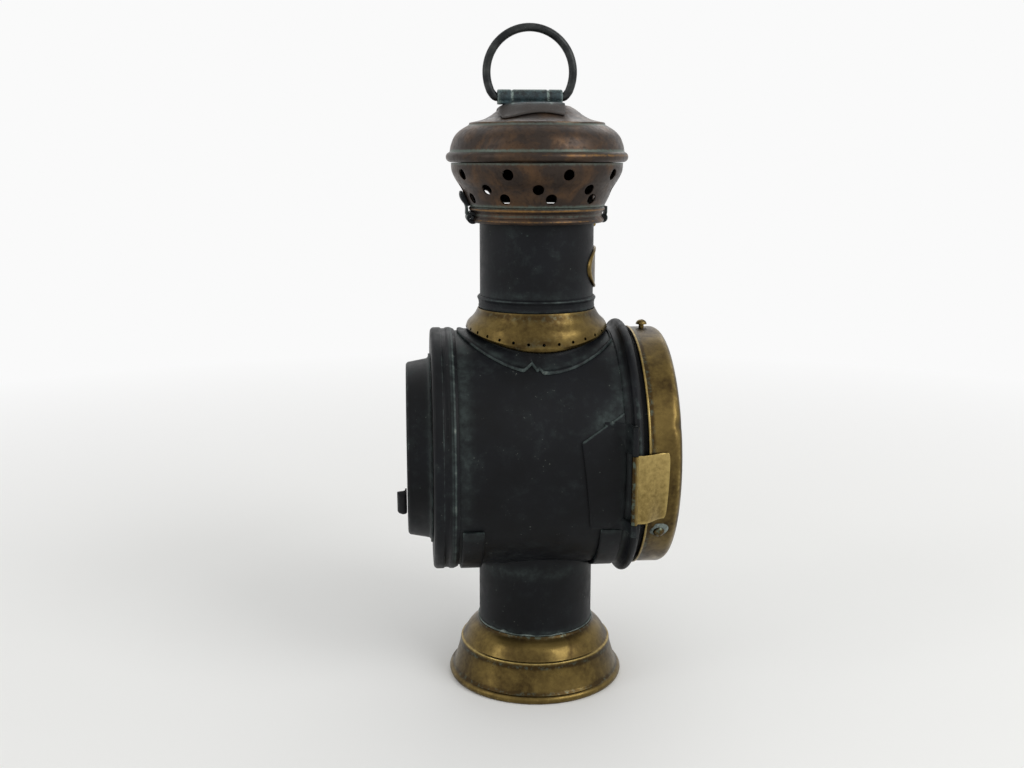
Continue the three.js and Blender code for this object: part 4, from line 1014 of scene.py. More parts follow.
def make_saddle_flange():
    seat = FIT * 1.2
    sheet = 0.6
    bead = 0.6

    def section(angle):
        across = abs(sin(angle))
        edge = FLANGE_R
        if cos(angle) > 0:
            # The flange stops short of the front ring
            edge = min(FLANGE_R, (RING_START - FIT * 2) / max(cos(angle), 1e-6))
        edge -= torn(angle)

        def on_drum(radius, up):
            return (radius, crest(radius * sin(angle), DRUM_R) + up)
        foot = on_drum(NECK_R, seat + sheet)[1]
        height = max(RIM_UP - collar_drop(angle) - FIT - foot, 0)
        width = edge - NECK_R - bead * 2
        sweep = []
        for i in range(13):
            t = radians(90 * i / 12)
            radius = NECK_R + width * (1 - cos(t))
            sweep.append((radius, on_drum(radius, seat + sheet)[1] + height * (1 - sin(t))))
        top = NECK_TOP - COLLAR_DROP * 0.8 * across ** 2
        outer = [on_drum(edge - bead * k, seat + sheet + bead * h) for k, h in
                 [(1.7, 0.3), (1.3, 0.8), (0.8, 1.0), (0.3, 0.8), (0, 0.3)]]
        under = [on_drum(edge - (edge - NECK_R + sheet) * i / 8, seat) for i in range(9)]
        return [(NECK_R - sheet, top), (NECK_R, top)] + sweep + outer + under
    flange = turned("saddle_joint", section, facets=384, smooth=50)

    def worn(p):
        edge = FLANGE_R - torn(atan2(p[Y], p[X]))
        nick = bell(atan2(p[Y], p[X]), NICK_ANGLE + 0.04, 0.13)
        return (0.8 + 1.1 * nick) * bell(chimney_radius(p), edge, 0.45 + 1.2 * nick)

    def dull(p):
        return 0.6 * bell(chimney_radius(p), FLANGE_R - 2.6, 1.2)
    dressed(flange, "lamp_body", *PAINTED, "saddle_flange", worn=worn, dull=dull)


def make_collar():
    throat = CHIMNEY_R + FIT + BRASS_SHEET
    belly = RIM_UP + 1.1
    vent_up = 1.9
    bell_side = curved(shares_between((throat, COLLAR_TOP), (COLLAR_R, belly),
                                      [(0, 0), (0.08, 0.12), (0.36, 0.41), (0.82, 0.7), (1, 1)]))
    roll = curved([(COLLAR_R, belly), (COLLAR_R - 0.5, RIM_UP + 0.35), (COLLAR_R - 1.9, RIM_UP)])
    outline = closed_fine(eased(walled(bell_side + roll[1:], BRASS_SHEET), 0.3), 0.8)
    depth = COLLAR_TOP - RIM_UP

    def section(angle):
        return [(r, s - collar_drop(angle) * ((COLLAR_TOP - s) / depth) ** 2) for r, s in outline]
    collar = turned("collar_bell", section)
    vents = []
    count = 30
    for i in range(count):
        turn = tau * (i + 0.5) / count
        up = RIM_UP + vent_up - collar_drop(turn) * ((depth - vent_up) / depth) ** 2
        inner = place("chimney", turn, COLLAR_R - 3.4, up)
        outer = place("chimney", turn, COLLAR_R + 2, up)
        vents.append(drill(inner, outer, sizes().vent / MM, 16))
    carved(collar, gathered("vents", vents), tangled=True)

    def level(p):
        return (p[Z] + collar_drop(atan2(p[Y], p[X])) * ((COLLAR_TOP - p[Z]) / depth) ** 2 - RIM_UP) / depth

    # The band on the belly is painted highlight, strongest on the right where the light falls; the line at
    # the top edge is wear.
    def worn(p):
        lit = 0.4 + 0.6 * rise(p[X], -10, 25)
        return 0.75 * lit * bell(level(p), 0.24, 0.1) + 0.25 * bell(level(p), 1.0, 0.05)

    def dull(p):
        return 1.2 * bell(level(p), 0.0, 0.12) + 0.35 * bell(level(p), 0.85, 0.12)
    dressed(collar, "lamp_body", *SPUN, "brass_collar", worn=worn, dull=dull)


# Chimney

# Dents: angle from the front towards the far side, height, reach round, reach up, depth
CHIMNEY_DENTS = [(-0.9, 222, 0.3, 9, 0.35), (2.4, 214, 0.35, 10, 0.4), (-2.2, 208, 0.25, 7, 0.25)]


def make_chimney():
    wall = plain_wall(CHIMNEY_R, CHIMNEY_FOOT, CHIMNEY_TOP, 1.2)
    tube = turned("chimney_pipe", dented(wall, CHIMNEY_DENTS))
    line = COLLAR_TOP + 8
    # Two long curved scratches on the side that shows, as (height at the start, height at the end, angles)
    scratches = [(232, 225.5, -1.95, -1.55), (225.5, 221.5, -1.52, -1.4)]

    def scratched(p):
        turn = atan2(p[Y], p[X])
        most = 0.0
        for start, end, first, last in scratches:
            t = (turn - first) / (last - first)
            if 0 <= t <= 1:
                most = max(most, bell(p[Z], start + (end - start) * t ** 1.5, 0.55))
        return most

    def worn(p):
        return 0.9 * scratched(p) + 0.6 * bell(p[Z], CHIMNEY_TOP, 0.8) + 0.4 * bell(p[Z], line, 1.0)
    dressed(tube, "lamp_body", *PAINTED, "chimney_tube", worn=worn, dull=lambda p: 0.4 * bell(p[Z], line, 2))


def make_chimney_ring():
    bottom, top = span("chimney_bead_ring", Z)
    reach = high("chimney_bead_ring", X)
    inner = CHIMNEY_R + FIT / 2
    roll = (top - bottom) / 4
    outline = curved([(inner, top), (reach - 0.55, top - roll * 0.2), (reach, top - roll * 0.8),
                      (reach - 0.5, top - roll * 1.6), (reach - 0.75, bottom + roll * 1.3),
                      (reach - 0.6, bottom + roll * 0.6), (reach - 0.75, bottom + 0.1), (inner, bottom)], 5)
    ring = turned("chimney_roll", closed_fine(outline, 0.5))

    def worn(p):
        return 0.9 * bell(p[Z], top - roll * 0.55, 0.5) * rise(chimney_radius(p), inner, reach)
    dressed(ring, "lamp_body", "verdigris", worn_black_paint, "chimney_bead_ring",
            worn=worn, dull=lambda p: 0.7 * bell(p[Z], bottom, 0.8))


def make_oval_plate():
    """A bare plate, curved with the chimney, with a raised and rounded border."""
    half_width = high("oval_plate", Y)
    half_height = (high("oval_plate", Z) - low("oval_plate", Z)) / 2
    centre = low("oval_plate", Z) + half_height
    seat = CHIMNEY_R + FIT / 2
    face = high("oval_plate", X) - 0.35
    profile = [(0, face), (0.3, face), (0.6, face), (0.8, face - 0.02), (0.86, face), (0.885, face + 0.2),
               (0.91, face + 0.33), (0.945, face + 0.35), (0.975, face + 0.22), (1, face - 0.2), (1, seat)]
    around = 96
    points, faces = [], []
    for share, radius in profile + [(0.6, seat), (0, seat)]:
        for i in range(around):
            turn = tau * i / around
            side = half_width * share * cos(turn)
            up = centre + half_height * share * sin(turn)
            points.append((sqrt(radius ** 2 - side ** 2), side, up))
    rows = len(points) // around
    for a in range(0, (rows - 1) * around, around):
        for i in range(around):
            j = (i + 1) % around
            faces.append((a + i, a + j, a + around + j, a + around + i))
    plate = as_object("oval_badge_blank", points, faces)

    def share(p):
        return hypot(p[Y] / half_width, (p[Z] - centre) / half_height)
    dressed(plate, "lamp_body", *SPUN, "oval_plate",
            worn=lambda p: 0.8 * bell(share(p), 0.945, 0.035),
            dull=lambda p: 0.8 * bell(share(p), 0.84, 0.06))


# Lower tube, foot and straps

def make_lower_tube():
    spots = [(-1.2, 46, 0.3, 8, 0.3), (-2.1, 38, 0.2, 5, 0.3), (1.6, 44, 0.4, 9, 0.4)]
    tube = turned("lower_pipe", dented(plain_wall(TUBE_R, TUBE_FOOT, TUBE_TOP, 1.5), spots))
    under = DRUM_Z - DRUM_R
    dressed(tube, "lamp_body", *PAINTED, "lower_tube",
            worn=lambda p: 0.5 * bell(p[Z], FOOT_TOP + 1.5, 1.2),
            dull=lambda p: 0.7 * bell(p[Z], FOOT_TOP + 1, 1.6) + 0.6 * bell(p[Z], under, 3))


def make_foot():
    collar = TUBE_R + FIT
    ridge = FOOT_R - 6.7
    ridge_up = FOOT_TOP - 10.3
    bead = 2.2
    lip = 0.6
    centre = FOOT_R - bead
    dome = curved(shares_between((collar + BRASS_SHEET / 2, FOOT_TOP), (ridge, ridge_up),
                                 [(0, 0), (0.08, 0.1), (0.32, 0.27), (0.58, 0.48), (0.78, 0.73),
                                  (0.93, 0.97)]))
    edge = (ridge + lip, ridge_up - lip)
    flare = curved(shares_between(edge, (centre, bead * 2),
                                  [(0, 0), (0.1, 0.18), (0.3, 0.42), (0.6, 0.69), (0.92, 0.94)]))
    roll = [(r, max(s, 0)) for r, s in arc((centre, bead * 0.86), bead, 75, -90, 22)]
    outside = dome + [(ridge + lip * 0.6, ridge_up - lip * 0.2)] + flare
    inside = [(max(r, collar), s) for r, s in offset(outside, BRASS_SHEET)][::-1]
    underside = [(centre - bead / 2, 0), (centre - bead, bead)]
    section = [(collar, FOOT_TOP)] + outside + roll + underside + inside
    foot = turned("foot_bell", closed_fine(section, 0.8))

    def worn(p):
        r = chimney_radius(p)
        outer = 1.1 * bell(p[Z], ridge_up - 0.2, 0.5) * rise(r, ridge - 1.5, ridge)
        return outer + 0.4 * bell(r, FOOT_R, 0.9) + 0.3 * bell(p[Z], FOOT_TOP - 3.5, 1.5)

    def dull(p):
        r = chimney_radius(p)
        crease_line = bell(p[Z], bead * 2.1, 0.8) * bell(r, centre, 1.6)
        hollow = bell(p[Z], ridge_up - 2.2, 1.0) * bell(r, ridge + 1, 1.4)
        return 0.6 * crease_line + 0.7 * hollow + 0.9 * bell(p[Z], FOOT_TOP, 1.1)
    dressed(foot, "lamp_body", *SPUN, "brass_foot", worn=worn, dull=dull)


def make_foot_solder():
    """A rough bead of solder where the foot is joined to the tube."""
    crust = sizes().crust / MM
    draw = random.Random(11)
    lumps = [(draw.uniform(0, tau), draw.uniform(0.05, 0.2), draw.uniform(0.2, 1.0))
             for _ in range(46)]

    def section(angle):
        size = 0.35
        for at, wide, high_point in lumps:
            size += 0.5 * high_point * bell(apart(angle, at), 0, wide)
        size = min(size, 1.5) * crust
        centre = TUBE_R + FIT * 0.6
        return [(centre + size * cos(t) * 0.8, FOOT_TOP + 0.1 + size * (1 + sin(t)) * 0.8)
                for t in [radians(a) for a in range(0, 360, 36)]]
    dressed(turned("foot_solder", section, facets=256), "lamp_body", "aged_brass", soft_solder)


def make_straps():
    inner = DRUM_R + FIT
    clear = TUBE_R + FIT
    tip = high("tube_strap_rear", Z)
    end = acos((DRUM_Z - tip) / inner)
    thick = 1.6
    for which in ("rear", "front"):
        name = f"tube_strap_{which}"
        near, far = span(name, X)

        def point(u, v, side, near=near, far=far):
            turn = (u * 2 - 1) * end
            worn_back = 0.35 * exp(-((abs(turn) - end) / 0.05) ** 2)
            radius = inner + side * (thick - worn_back)
            y = radius * sin(turn)
            start = max(near, sqrt(max(clear ** 2 - y * y, 0))) if near > 0 else near
            return (start + (far - start) * v, y, DRUM_Z - radius * cos(turn))
        strap = slab(f"{which}_strap", 120, 10, point, edge=0.3)

        def worn(p, near=near, far=far):
            return 0.5 * bell(p[X], near, 0.6) + 0.5 * bell(p[X], far, 0.6) + 0.6 * bell(p[Z], tip, 1.2)
        dressed(strap, "lamp_body", *PAINTED, name, worn=worn, dull=lambda p: 0.6 * bell(p[Z], tip, 3.5))


# Cap: pierced basket, neck band and stepped crown

# Rows of holes: share of the basket's height, count, and turn of the first hole in degrees
HOLE_ROWS = [(0.77, 9, -155), (0.44, 9, -135), (0.23, 10, -157)]
BASKET_SHARES = [(0, 0), (0.045, 0.2), (0.27, 0.4), (0.57, 0.6), (0.77, 0.8), (1, 1)]


def basket_outline():
    return curved(shares_between((BASKET_R, BASKET_TOP), (BAND_R - FIT, BASKET_FOOT), BASKET_SHARES))


def make_basket():
    basket = turned("basket_bowl", closed_fine(walled(basket_outline(), BRASS_SHEET), 0.8))
    height = BASKET_TOP - BASKET_FOOT
    reach = BASKET_R * 0.9
    for share, count, first in HOLE_ROWS:
        lean = radians((1 - share) * 35)
        up = BASKET_FOOT + height * share + sin(lean) * reach
        drills = []
        for i in range(count):
            turn = radians(first + i * 360 / count)
            ends = [place("chimney", turn, r * cos(lean), up - r * sin(lean))
                    for r in (BASKET_R * 0.66, BASKET_R * 1.3)]
            drills.append(drill(ends[0], ends[1], sizes().hole / MM, 24))
        carved(basket, gathered("drills", drills))
    rounded(basket, 0.12, 50)

    # A broad warm band round the middle on the right side only: painted sheen where the light falls.
    def worn(p):
        return 0.35 * bell(p[Z], BASKET_TOP - height * 0.42, 5) * rise(p[X], 5, 35)

    def dull(p):
        return 0.9 * bell(p[Z], BASKET_FOOT, 1.3) + 0.7 * bell(p[Z], BASKET_TOP, 1.2)
    dressed(basket, "cap", "aged_copper", brown_copper, "cap_basket", worn=worn, dull=dull)


def make_neck_band():
    roll = 2.4
    bore = BAND_R - roll
    height = BAND_TOP - BAND_FOOT
    shares = [(0.75, 1), (1, 0.88), (0.8, 0.74), (0.5, 0.62), (0.4, 0.4), (0.62, 0.3), (0.85, 0.14), (0.6, 0)]
    outline = curved([(bore + roll * out, BAND_FOOT + height * up) for out, up in shares])
    band = turned("neck_band_roll", closed_fine(outline + [(bore, BAND_FOOT), (bore, BAND_TOP)], 0.5))
    half = high("cap_hinge_lug_far", Y) + FIT
    roof = high("cap_hinge_lug_far", Z) + FIT
    reach = BAND_R + 4
    hinge = block("notch", (-reach, -half, BAND_FOOT - 4), (-bore * 0.8, half, roof))
    side = high("cap_catch", Y) + FIT
    catch = block("notch", (bore * 0.8, -side, BAND_FOOT - 4), (reach, side, high("cap_catch", Z) + FIT))
    carved(band, gathered("notches", [hinge, catch]))

    # The crests of the rolls are rubbed, and brighter on the near side, which is painted highlight.
    def worn(p):
        front = 0.6 + 0.4 * rise(-p[Y], -10, 30)
        return front * (0.95 * bell(p[Z], BAND_FOOT + height * 0.84, 0.6)
                        + 0.7 * bell(p[Z], BAND_FOOT + height * 0.18, 0.6))

    def dull(p):
        return 0.55 * bell(p[Z], BAND_FOOT + height * 0.5, 0.7) + 0.8 * bell(p[Z], BAND_TOP, 0.6)
    dressed(band, "cap", "aged_copper", brown_copper, "cap_neck_band", worn=worn, dull=dull)


# Crown: height of its bead, radius and height of the step under its cone, and the cone's outline
BEAD_UP = 267.7
STEP_R = 33.1
STEP_UP = 284.0
CONE_SHARES = [(0, 0), (0.42, 0.02), (0.53, 0.16), (0.61, 0.37), (0.69, 0.6), (0.81, 0.83), (1, 1)]


def cone_outline():
    return curved(shares_between((0, CROWN_TOP), (STEP_R, STEP_UP), CONE_SHARES))


def cone_height(radius):
    """Height of the crown's cone at a distance from the chimney's axis."""
    for (r0, s0), (r1, s1) in zip(cone_outline(), cone_outline()[1:]):
        if r0 <= radius <= r1 and r1 > r0:
            return s0 + (s1 - s0) * (radius - r0) / (r1 - r0)
    return STEP_UP


def make_crown():
    bead = 2.5
    brim = (CROWN_R - bead * 0.75, BEAD_UP + bead)
    step = (STEP_R + 0.35, STEP_UP - 1.1)
    dome = curved(shares_between(step, brim, [(0, 0), (0.45, 0.2), (0.75, 0.43), (0.93, 0.74), (1, 1)]))
    roll = arc((CROWN_R - bead, BEAD_UP), bead, 45, -90, 16)
    outside = cone_outline()[:-1] + [(STEP_R, STEP_UP - 0.1), (STEP_R + 0.1, STEP_UP - 0.6)] + dome + roll
    # The lining ends on the bead's upper side, so the last points of the roll have none behind them
    unlined = 12
    lining = [(max(r, 0), min(s, CROWN_TOP - BRASS_SHEET))
              for r, s in offset(outside[:-unlined], BRASS_SHEET)][::-1]
    inner = BASKET_R - BRASS_SHEET
    section = outside + [(inner, BEAD_UP - bead), (inner, BEAD_UP)] + [(min(r, inner), s) for r, s in lining]
    dents = [(-1.1, 37, 0.25, 4, 0.35), (0.4, 36, 0.3, 4, 0.3), (-2.3, 38, 0.2, 4, 0.4),
             (-1.6, 20, 0.5, 5, 0.25)]
    outline = closed_fine(section, 0.8)

    def pressed(angle):
        return [(r, s - dished(angle, r, dents) * rise(s, BEAD_UP + 3, BEAD_UP + 6)) for r, s in outline]
    crown = turned("crown_dome", pressed)

    # The bead's bright line is rubbed metal all round and painted highlight on the right, where the light
    # falls; the step line is wear.
    def worn(p):
        r = chimney_radius(p)
        right = 0.5 + 0.5 * rise(p[X], -20, 35)
        line = 0.55 * bell(p[Z], STEP_UP - 0.2, 0.45) * rise(r, STEP_R - 1.2, STEP_R)
        return line + 0.75 * right * bell(p[Z], BEAD_UP + 0.8, 1.1) * rise(r, CROWN_R - 1.6, CROWN_R)

    def dull(p):
        r = chimney_radius(p)
        under_step = bell(p[Z], STEP_UP - 1.3, 0.8) * bell(r, STEP_R + 0.6, 1.6)
        above_bead = bell(p[Z], BEAD_UP + bead * 1.1, 0.9) * bell(r, CROWN_R - 2, 1.6)
        return 0.9 * under_step + 0.9 * above_bead + 0.3 * bell(r, 27, 4) * rise(p[Z], STEP_UP, STEP_UP + 1)
    dressed(crown, "cap", "aged_copper", brown_copper, "cap_crown", worn=worn, dull=dull)


# Ring handle and its bracket

def make_handle_bracket():
    near, far = span("handle_bracket", X)
    deep = high("handle_bracket", Y)
    knuckle = 3.6
    axis = high("handle_bracket", Z) - knuckle
    heights = {}

    def plate_point(u, v, side):
        x = near + (far - near) * u
        y = deep * (v * 2 - 1)
        # The plate's ends are rounded in plan
        x = (near + far) / 2 + (x - (near + far) / 2) * (1 - 0.12 * abs(v * 2 - 1) ** 6)
        spot = round(hypot(x, y), 2)
        if spot not in heights:
            heights[spot] = cone_height(spot)
        return (x, y, heights[spot] + FIT + BRASS_SHEET * 1.1 * side)
    plate = slab("bracket", 28, 40, plate_point)

    inset = 7.0
    grooves = [near + inset, far - inset]
    path, radii = [], []
    for i in range(91):
        x = near + (far - near) * i / 90
        cut = max(bell(x, g, 0.42) for g in grooves)
        path.append((x, 0, axis))
        radii.append(knuckle - 0.45 * cut - 0.3 * bell(x, near, 0.3) - 0.3 * bell(x, far, 0.3))
    tube = swept("tube", path, radii, 48, domed=False)
    web = slab("web", 16, 12, lambda u, v, side: (
        near + 0.2 + (far - near - 0.4) * u,
        (side * 2 - 1) * (knuckle * 0.75 + 2.2 * (1 - v) ** 3),
        CROWN_TOP + FIT + 0.3 + (axis - CROWN_TOP - FIT - 0.3) * v), edge=0)
    fused(plate, tube)
    fused(plate, web)
    carved(plate, drill((near - 4, 0, axis), (far + 4, 0, axis), 2.3))

    def worn(p):
        top = bell(p[Z], axis + knuckle, 0.8)
        edge = bell(p[X], near, 0.8) + bell(p[X], far, 0.8) + bell(abs(p[Y]), deep, 0.8)
        clamps = max(bell(p[X], g, 0.5) for g in grooves)
        return 0.5 * top + (0.6 * edge + 1.2 * clamps) * rise(p[Z], CROWN_TOP - 0.5, CROWN_TOP + 1)

    def dull(p):
        # The foot of the bracket is as brown as the crown that it is soldered to
        return 1.0 - rise(p[Z], CROWN_TOP - 0.8, CROWN_TOP + 1.2)
    dressed(plate, "cap", "verdigris", greened_metal, "handle_bracket", worn=worn, dull=dull)


def make_ring_handle():
    """Round wire, bent to a ring whose two ends meet inside the bracket."""
    wire = 2.0
    radius = 21.0
    shift = middle("ring_handle", X)
    axis = low("ring_handle", Z) + wire
    centre = high("ring_handle", Z) - wire - radius
    chord = sqrt(radius ** 2 - (centre - axis) ** 2)
    first = atan2(axis - centre, chord) + radians(8)
    path = [(0.25, axis), (chord * 0.5, axis), (chord * 0.85, axis), (chord * 0.97, axis + 0.25)]
    for i in range(61):
        turn = first + (pi - 2 * first) * i / 60
        path.append((radius * cos(turn), centre + radius * sin(turn)))
    path += [(-x, z) for x, z in path[3::-1]]
    bent = [(shift + x, 0, z) for x, z in curved(path, 3)]
    handle = rounded(swept("handle_wire", bent, wire, 32, domed=False), 0.3, 60)
    dressed(handle, "ring_handle", *WIRE, "ring_handle")


# Hinge and catch of the cap

# Hinge pin: its place as seen from the near side, and the radii of its knuckles and of their bore
CAP_PIN = (-BAND_R + 1.5, CHIMNEY_TOP - 2, 2.9, 1.4)


def basket_radius(height):
    """Outer radius of the basket at a height."""
    outline = basket_outline()
    for (r0, s0), (r1, s1) in zip(outline, outline[1:]):
        if s1 <= height <= s0 and s0 > s1:
            return r0 + (r1 - r0) * (s0 - height) / (s0 - s1)
    return BAND_R


def make_cap_hinge_leaf():
    x, z, knuckle, bore = CAP_PIN
    half = high("cap_hinge_leaf", Y)
    reach = -BAND_R - FIT
    bulge = BASKET_R - BAND_R
    line = [(reach - bulge * 0.35, high("cap_hinge_leaf", Z)),
            (reach - bulge * 0.3, BAND_TOP + knuckle * 1.9),
            (reach - bulge * 0.22, BAND_TOP + knuckle * 1.3), (reach - FIT, BAND_TOP),
            (x - knuckle * 0.72, z + knuckle * 0.5)]
    leaf = level_strip("cap_leaf", line, 1.2, half)
    top = high("cap_hinge_leaf", Z) - 0.4

    def pad_point(u, v, side):
        # Solder fills the corner between the leaf and the basket
        z = BAND_TOP + FIT + (top - BAND_TOP - FIT) * u
        radius = basket_radius(z) + FIT + side * (1.0 + 1.5 * sin(pi * u) ** 0.5)
        y = (half + 0.6) * (v * 2 - 1)
        return (-sqrt(radius ** 2 - y * y), y, z)
    fused(leaf, slab("pad", 14, 10, pad_point, edge=0.25))
    fused(leaf, drill((x, -half, z), (x, half, z), knuckle))
    carved(leaf, drill((x, -half - 4, z), (x, half + 4, z), bore, 32))
    face = reach - bulge * 0.33
    up = BAND_TOP + knuckle * 1.9
    rivets = [rod("rivet", (face - 1.0, y, up), (face - 0.2, y, up), 0.9, 20) for y in (-2.6, 2.6)]
    leaf = gathered("cap_leaf", [leaf] + rivets)
    dressed(leaf, "cap", "verdigris", worn_black_paint, "cap_hinge_leaf",
            worn=lambda p: 0.8 * bell(abs(p[Y]), half, 0.5) + 0.5 * bell(p[X], x - knuckle, 0.7))


def make_cap_hinge_lugs():
    x, z, knuckle, bore = CAP_PIN
    for side in ("near", "far"):
        name = f"cap_hinge_lug_{side}"
        start, end = span(name, Y)
        lug = drill((x, start, z), (x, end, z), knuckle)
        arm = block("arm", (x, start, z - knuckle * 0.6), (-CHIMNEY_R * 0.97, end, z + knuckle * 0.6))
        fused(lug, arm)
        pipe = drill((0, 0, z - 9), (0, 0, z + 9), CHIMNEY_R + FIT / 2, WIDE_SIDES)
        carved(lug, pipe)
        carved(lug, drill((x, start - 4, z), (x, end + 4, z), bore, 32))
        rounded(lug, 0.25)
        lug.name = f"cap_lug_{side}"
        dressed(lug, "lamp_body", "verdigris", worn_black_paint, name,
                worn=lambda p: 0.6 * bell(p[X], x - knuckle, 0.7))


def make_cap_hinge_pin():
    x, z = CAP_PIN[:2]
    ends = [(x, y, z) for y in (low("cap_hinge_pin", Y) + 0.35, high("cap_hinge_pin", Y) - 0.35)]
    pin = rod("cap_pin", *ends, 1.1, 28)
    dressed(pin, "lamp_body", *WIRE, "cap_hinge_pin")


def make_cap_catch():
    curl = 2.3
    half = high("cap_catch", Y)
    x = high("cap_catch", X) - curl
    z = low("cap_catch", Z) + curl
    start = BAND_R + FIT
    thick = BRASS_SHEET
    line = [(start, BAND_TOP), (start, z + curl * 1.3)]
    line += [(x + (curl - thick) * cos(radians(a)), z + (curl - thick) * sin(radians(a)))
             for a in range(50, -215, -24)]
    tongue = level_strip("cap_tongue", line, -thick, half)
    fused(tongue, drill((x, -half + 0.3, z), (x, half - 0.3, z), curl - thick * 0.5, 32))
    dressed(tongue, "cap", "verdigris", worn_black_paint, "cap_catch",
            worn=lambda p: 0.8 * bell(abs(p[Y]), half, 0.5) + 0.6 * bell(p[X], x + curl, 0.6))


def make_cap_catch_stud():
    radius, root = 1.35, 0.15
    head = low_dome(radius, high("cap_catch_stud", X) - CHIMNEY_R)
    stud = turned("cap_stud", head + [(0, -root), (radius, -root)], facets=32)
    moved(stud, Matrix.Rotation(pi / 2, 4, "Y"),
          Matrix.Translation((CHIMNEY_R, 0, middle("cap_catch_stud", Z))))
    dressed(stud, "lamp_body", "aged_brass", rubbed_brass, "cap_catch_stud", worn=lambda p: 0.7)


# Lens door

# How far in front of the chimney's axis the bezel's screws sit
SCREW_STATION = 53.7
# Screws round the bezel, from the top towards the far side
SCREW_ANGLES = [0.0, -tau / 3, tau / 3]


def make_bezel():
    wall = BEZEL_WALL_R
    corner = 4.5
    centre = (wall - corner, BEZEL_FRONT - corner)
    sight = SIGHT_R
    lip = [(wall - BRASS_SHEET, BEZEL_REAR), (BEZEL_R, BEZEL_REAR), (BEZEL_R, BEZEL_REAR + 1),
           (wall, BEZEL_REAR + 1.5)]
    section = eased(lip, 0.25) + arc(centre, corner, 0, 90, 14)
    section += [(sight + 0.5, BEZEL_FRONT), (sight, BEZEL_FRONT - 0.35), (sight, BEZEL_FRONT - BRASS_SHEET)]
    section += arc(centre, corner - BRASS_SHEET, 90, 0, 10)
    outline = closed_fine(section, 0.8)
    # A ding in the near side of the front corner, and two shallow dents on the wall
    dings = [(-1.19, BEZEL_FRONT - 1.5, 0.045, 2.0, 0.9), (-0.5, 56, 0.12, 4, 0.3), (-2.3, 55, 0.16, 4, 0.3)]
    bezel = turned("bezel_rim", dented(outline, dings), "drum", facets=256)

    def worn(p):
        r = drum_radius(p)
        outer = rise(r, wall - 2.2, wall - 0.4)
        edges = 0.85 * bell(p[X], BEZEL_REAR + 0.6, 0.7) + 0.6 * bell(p[X], BEZEL_FRONT - corner * 0.45, 1.1)
        return edges * outer + 0.5 * bell(r, sight, 0.7)

    def dull(p):
        r = drum_radius(p)
        turn = atan2(p[Y], p[Z] - DRUM_Z)
        screws = max(bell(apart(turn, a), 0, 0.07) for a in SCREW_ANGLES)
        lip_line = 0.8 * bell(p[X], BEZEL_REAR + 2.0, 0.9) * rise(r, wall - 0.7, wall)
        return lip_line + 0.7 * screws * bell(p[X], SCREW_STATION, 4) + 0.6 * bell(r, sight + 2.5, 1.6)
    dressed(bezel, "lens_door", "aged_brass", bezel_brass, "lens_bezel", worn=worn, dull=dull)


def make_bezel_screws():
    for which, turn, proud in zip(("top", "near", "far"), SCREW_ANGLES, (1.5, 0.0, 0.0)):
        head = BEZEL_WALL_R + FIT + proud
        shank = [(0, head - 3), (1.3, head - 3), (1.3, head), (2.55, head)]
        section = low_dome(2.8, 2.3, head, 9)[:-1] + [(0, head + 2.3)] + shank
        screw = turned("screw", closed_fine(section, 0.6), facets=48)
        slot = block("slot", (-0.35, -4, head + 1.35), (0.35, 4, head + 4))
        carved(screw, slot)
        rounded(screw, 0.08, 45)
        moved(screw, Matrix.Rotation(0.7 if which == "top" else 0.2, 4, "Z"),
              Matrix.Rotation(-turn, 4, "X"), Matrix.Translation((SCREW_STATION, 0, DRUM_Z)))
        screw.name = f"bezel_screw_{which}_head"
        tarnish = 0.9 if which == "near" else 0.2
        dressed(screw, "lens_door", "aged_brass", rubbed_brass, f"bezel_screw_{which}",
                worn=lambda p: 0.2, dull=lambda p, tarnish=tarnish: tarnish)


def make_screw_solder():
    """An old repair: solder run round the head of the near screw."""
    draw = random.Random(3)
    wall = BEZEL_WALL_R
    lumps = [(draw.uniform(0, tau), draw.uniform(0.3, 0.9), draw.uniform(0.2, 1)) for _ in range(9)]
    around, rows = 48, 8
    points, faces = [], []
    for k in range(rows + 1):
        for i in range(around):
            turn = tau * i / around
            edge = 3.0 + 1.9 * sum(h * bell(apart(turn, a), 0, w) for a, w, h in lumps) / 2
            along = edge * k / rows
            thick = 0.75 * sqrt(max(1 - (k / rows) ** 2, 0)) + 0.02
            x = SCREW_STATION + along * cos(turn) * 1.1
            round_the_drum = SCREW_ANGLES[1] + along * sin(turn) / wall
            points.append(place("drum", round_the_drum, wall + thick, min(x, BEZEL_FRONT - 4.5)))
    skin = len(points)
    for k in range(rows + 1):
        for i in range(around):
            x, y, z = points[k * around + i]
            flat = Vector((0, y, z - DRUM_Z)).normalized() * (wall - 0.1)
            points.append((x, flat.y, flat.z + DRUM_Z))
    for k in range(rows):
        for i in range(around):
            j = (i + 1) % around
            a, b, c, d = k * around + i, k * around + j, (k + 1) * around + j, (k + 1) * around + i
            if k:
                faces.append((a, b, c, d))
                faces.append((skin + a, skin + d, skin + c, skin + b))
            else:
                faces.append((a, c, d))
                faces.append((skin + a, skin + d, skin + c))
    for i in range(around):
        j = (i + 1) % around
        a, b = rows * around + i, rows * around + j
        faces.append((a, skin + a, skin + b, b))
    dressed(as_object("screw_solder", points, faces), "lens_door", "aged_brass", soft_solder)


def make_lens():
    back = high("lens_bezel", X) - BRASS_SHEET - FIT
    sight = SIGHT_R - FIT
    bulge = LENS_CROWN - back
    dome = [(sight * (1 - i / 24), back + bulge * (1 - (1 - i / 24) ** 2)) for i in range(25)]
    section = [(LENS_R, LENS_REAR), (LENS_R, back)] + dome + [(0, LENS_REAR)]
    glass = turned("lens_bullseye", closed_fine(eased(section, 0.3), 2.5), "drum", smooth=30)
    dressed(glass, "lens_door", "clear_glass", pressed_glass, "lens_glass")
    # It casts no shadow, so that lamp light reaches the burner behind it
    glass.visible_shadow = False


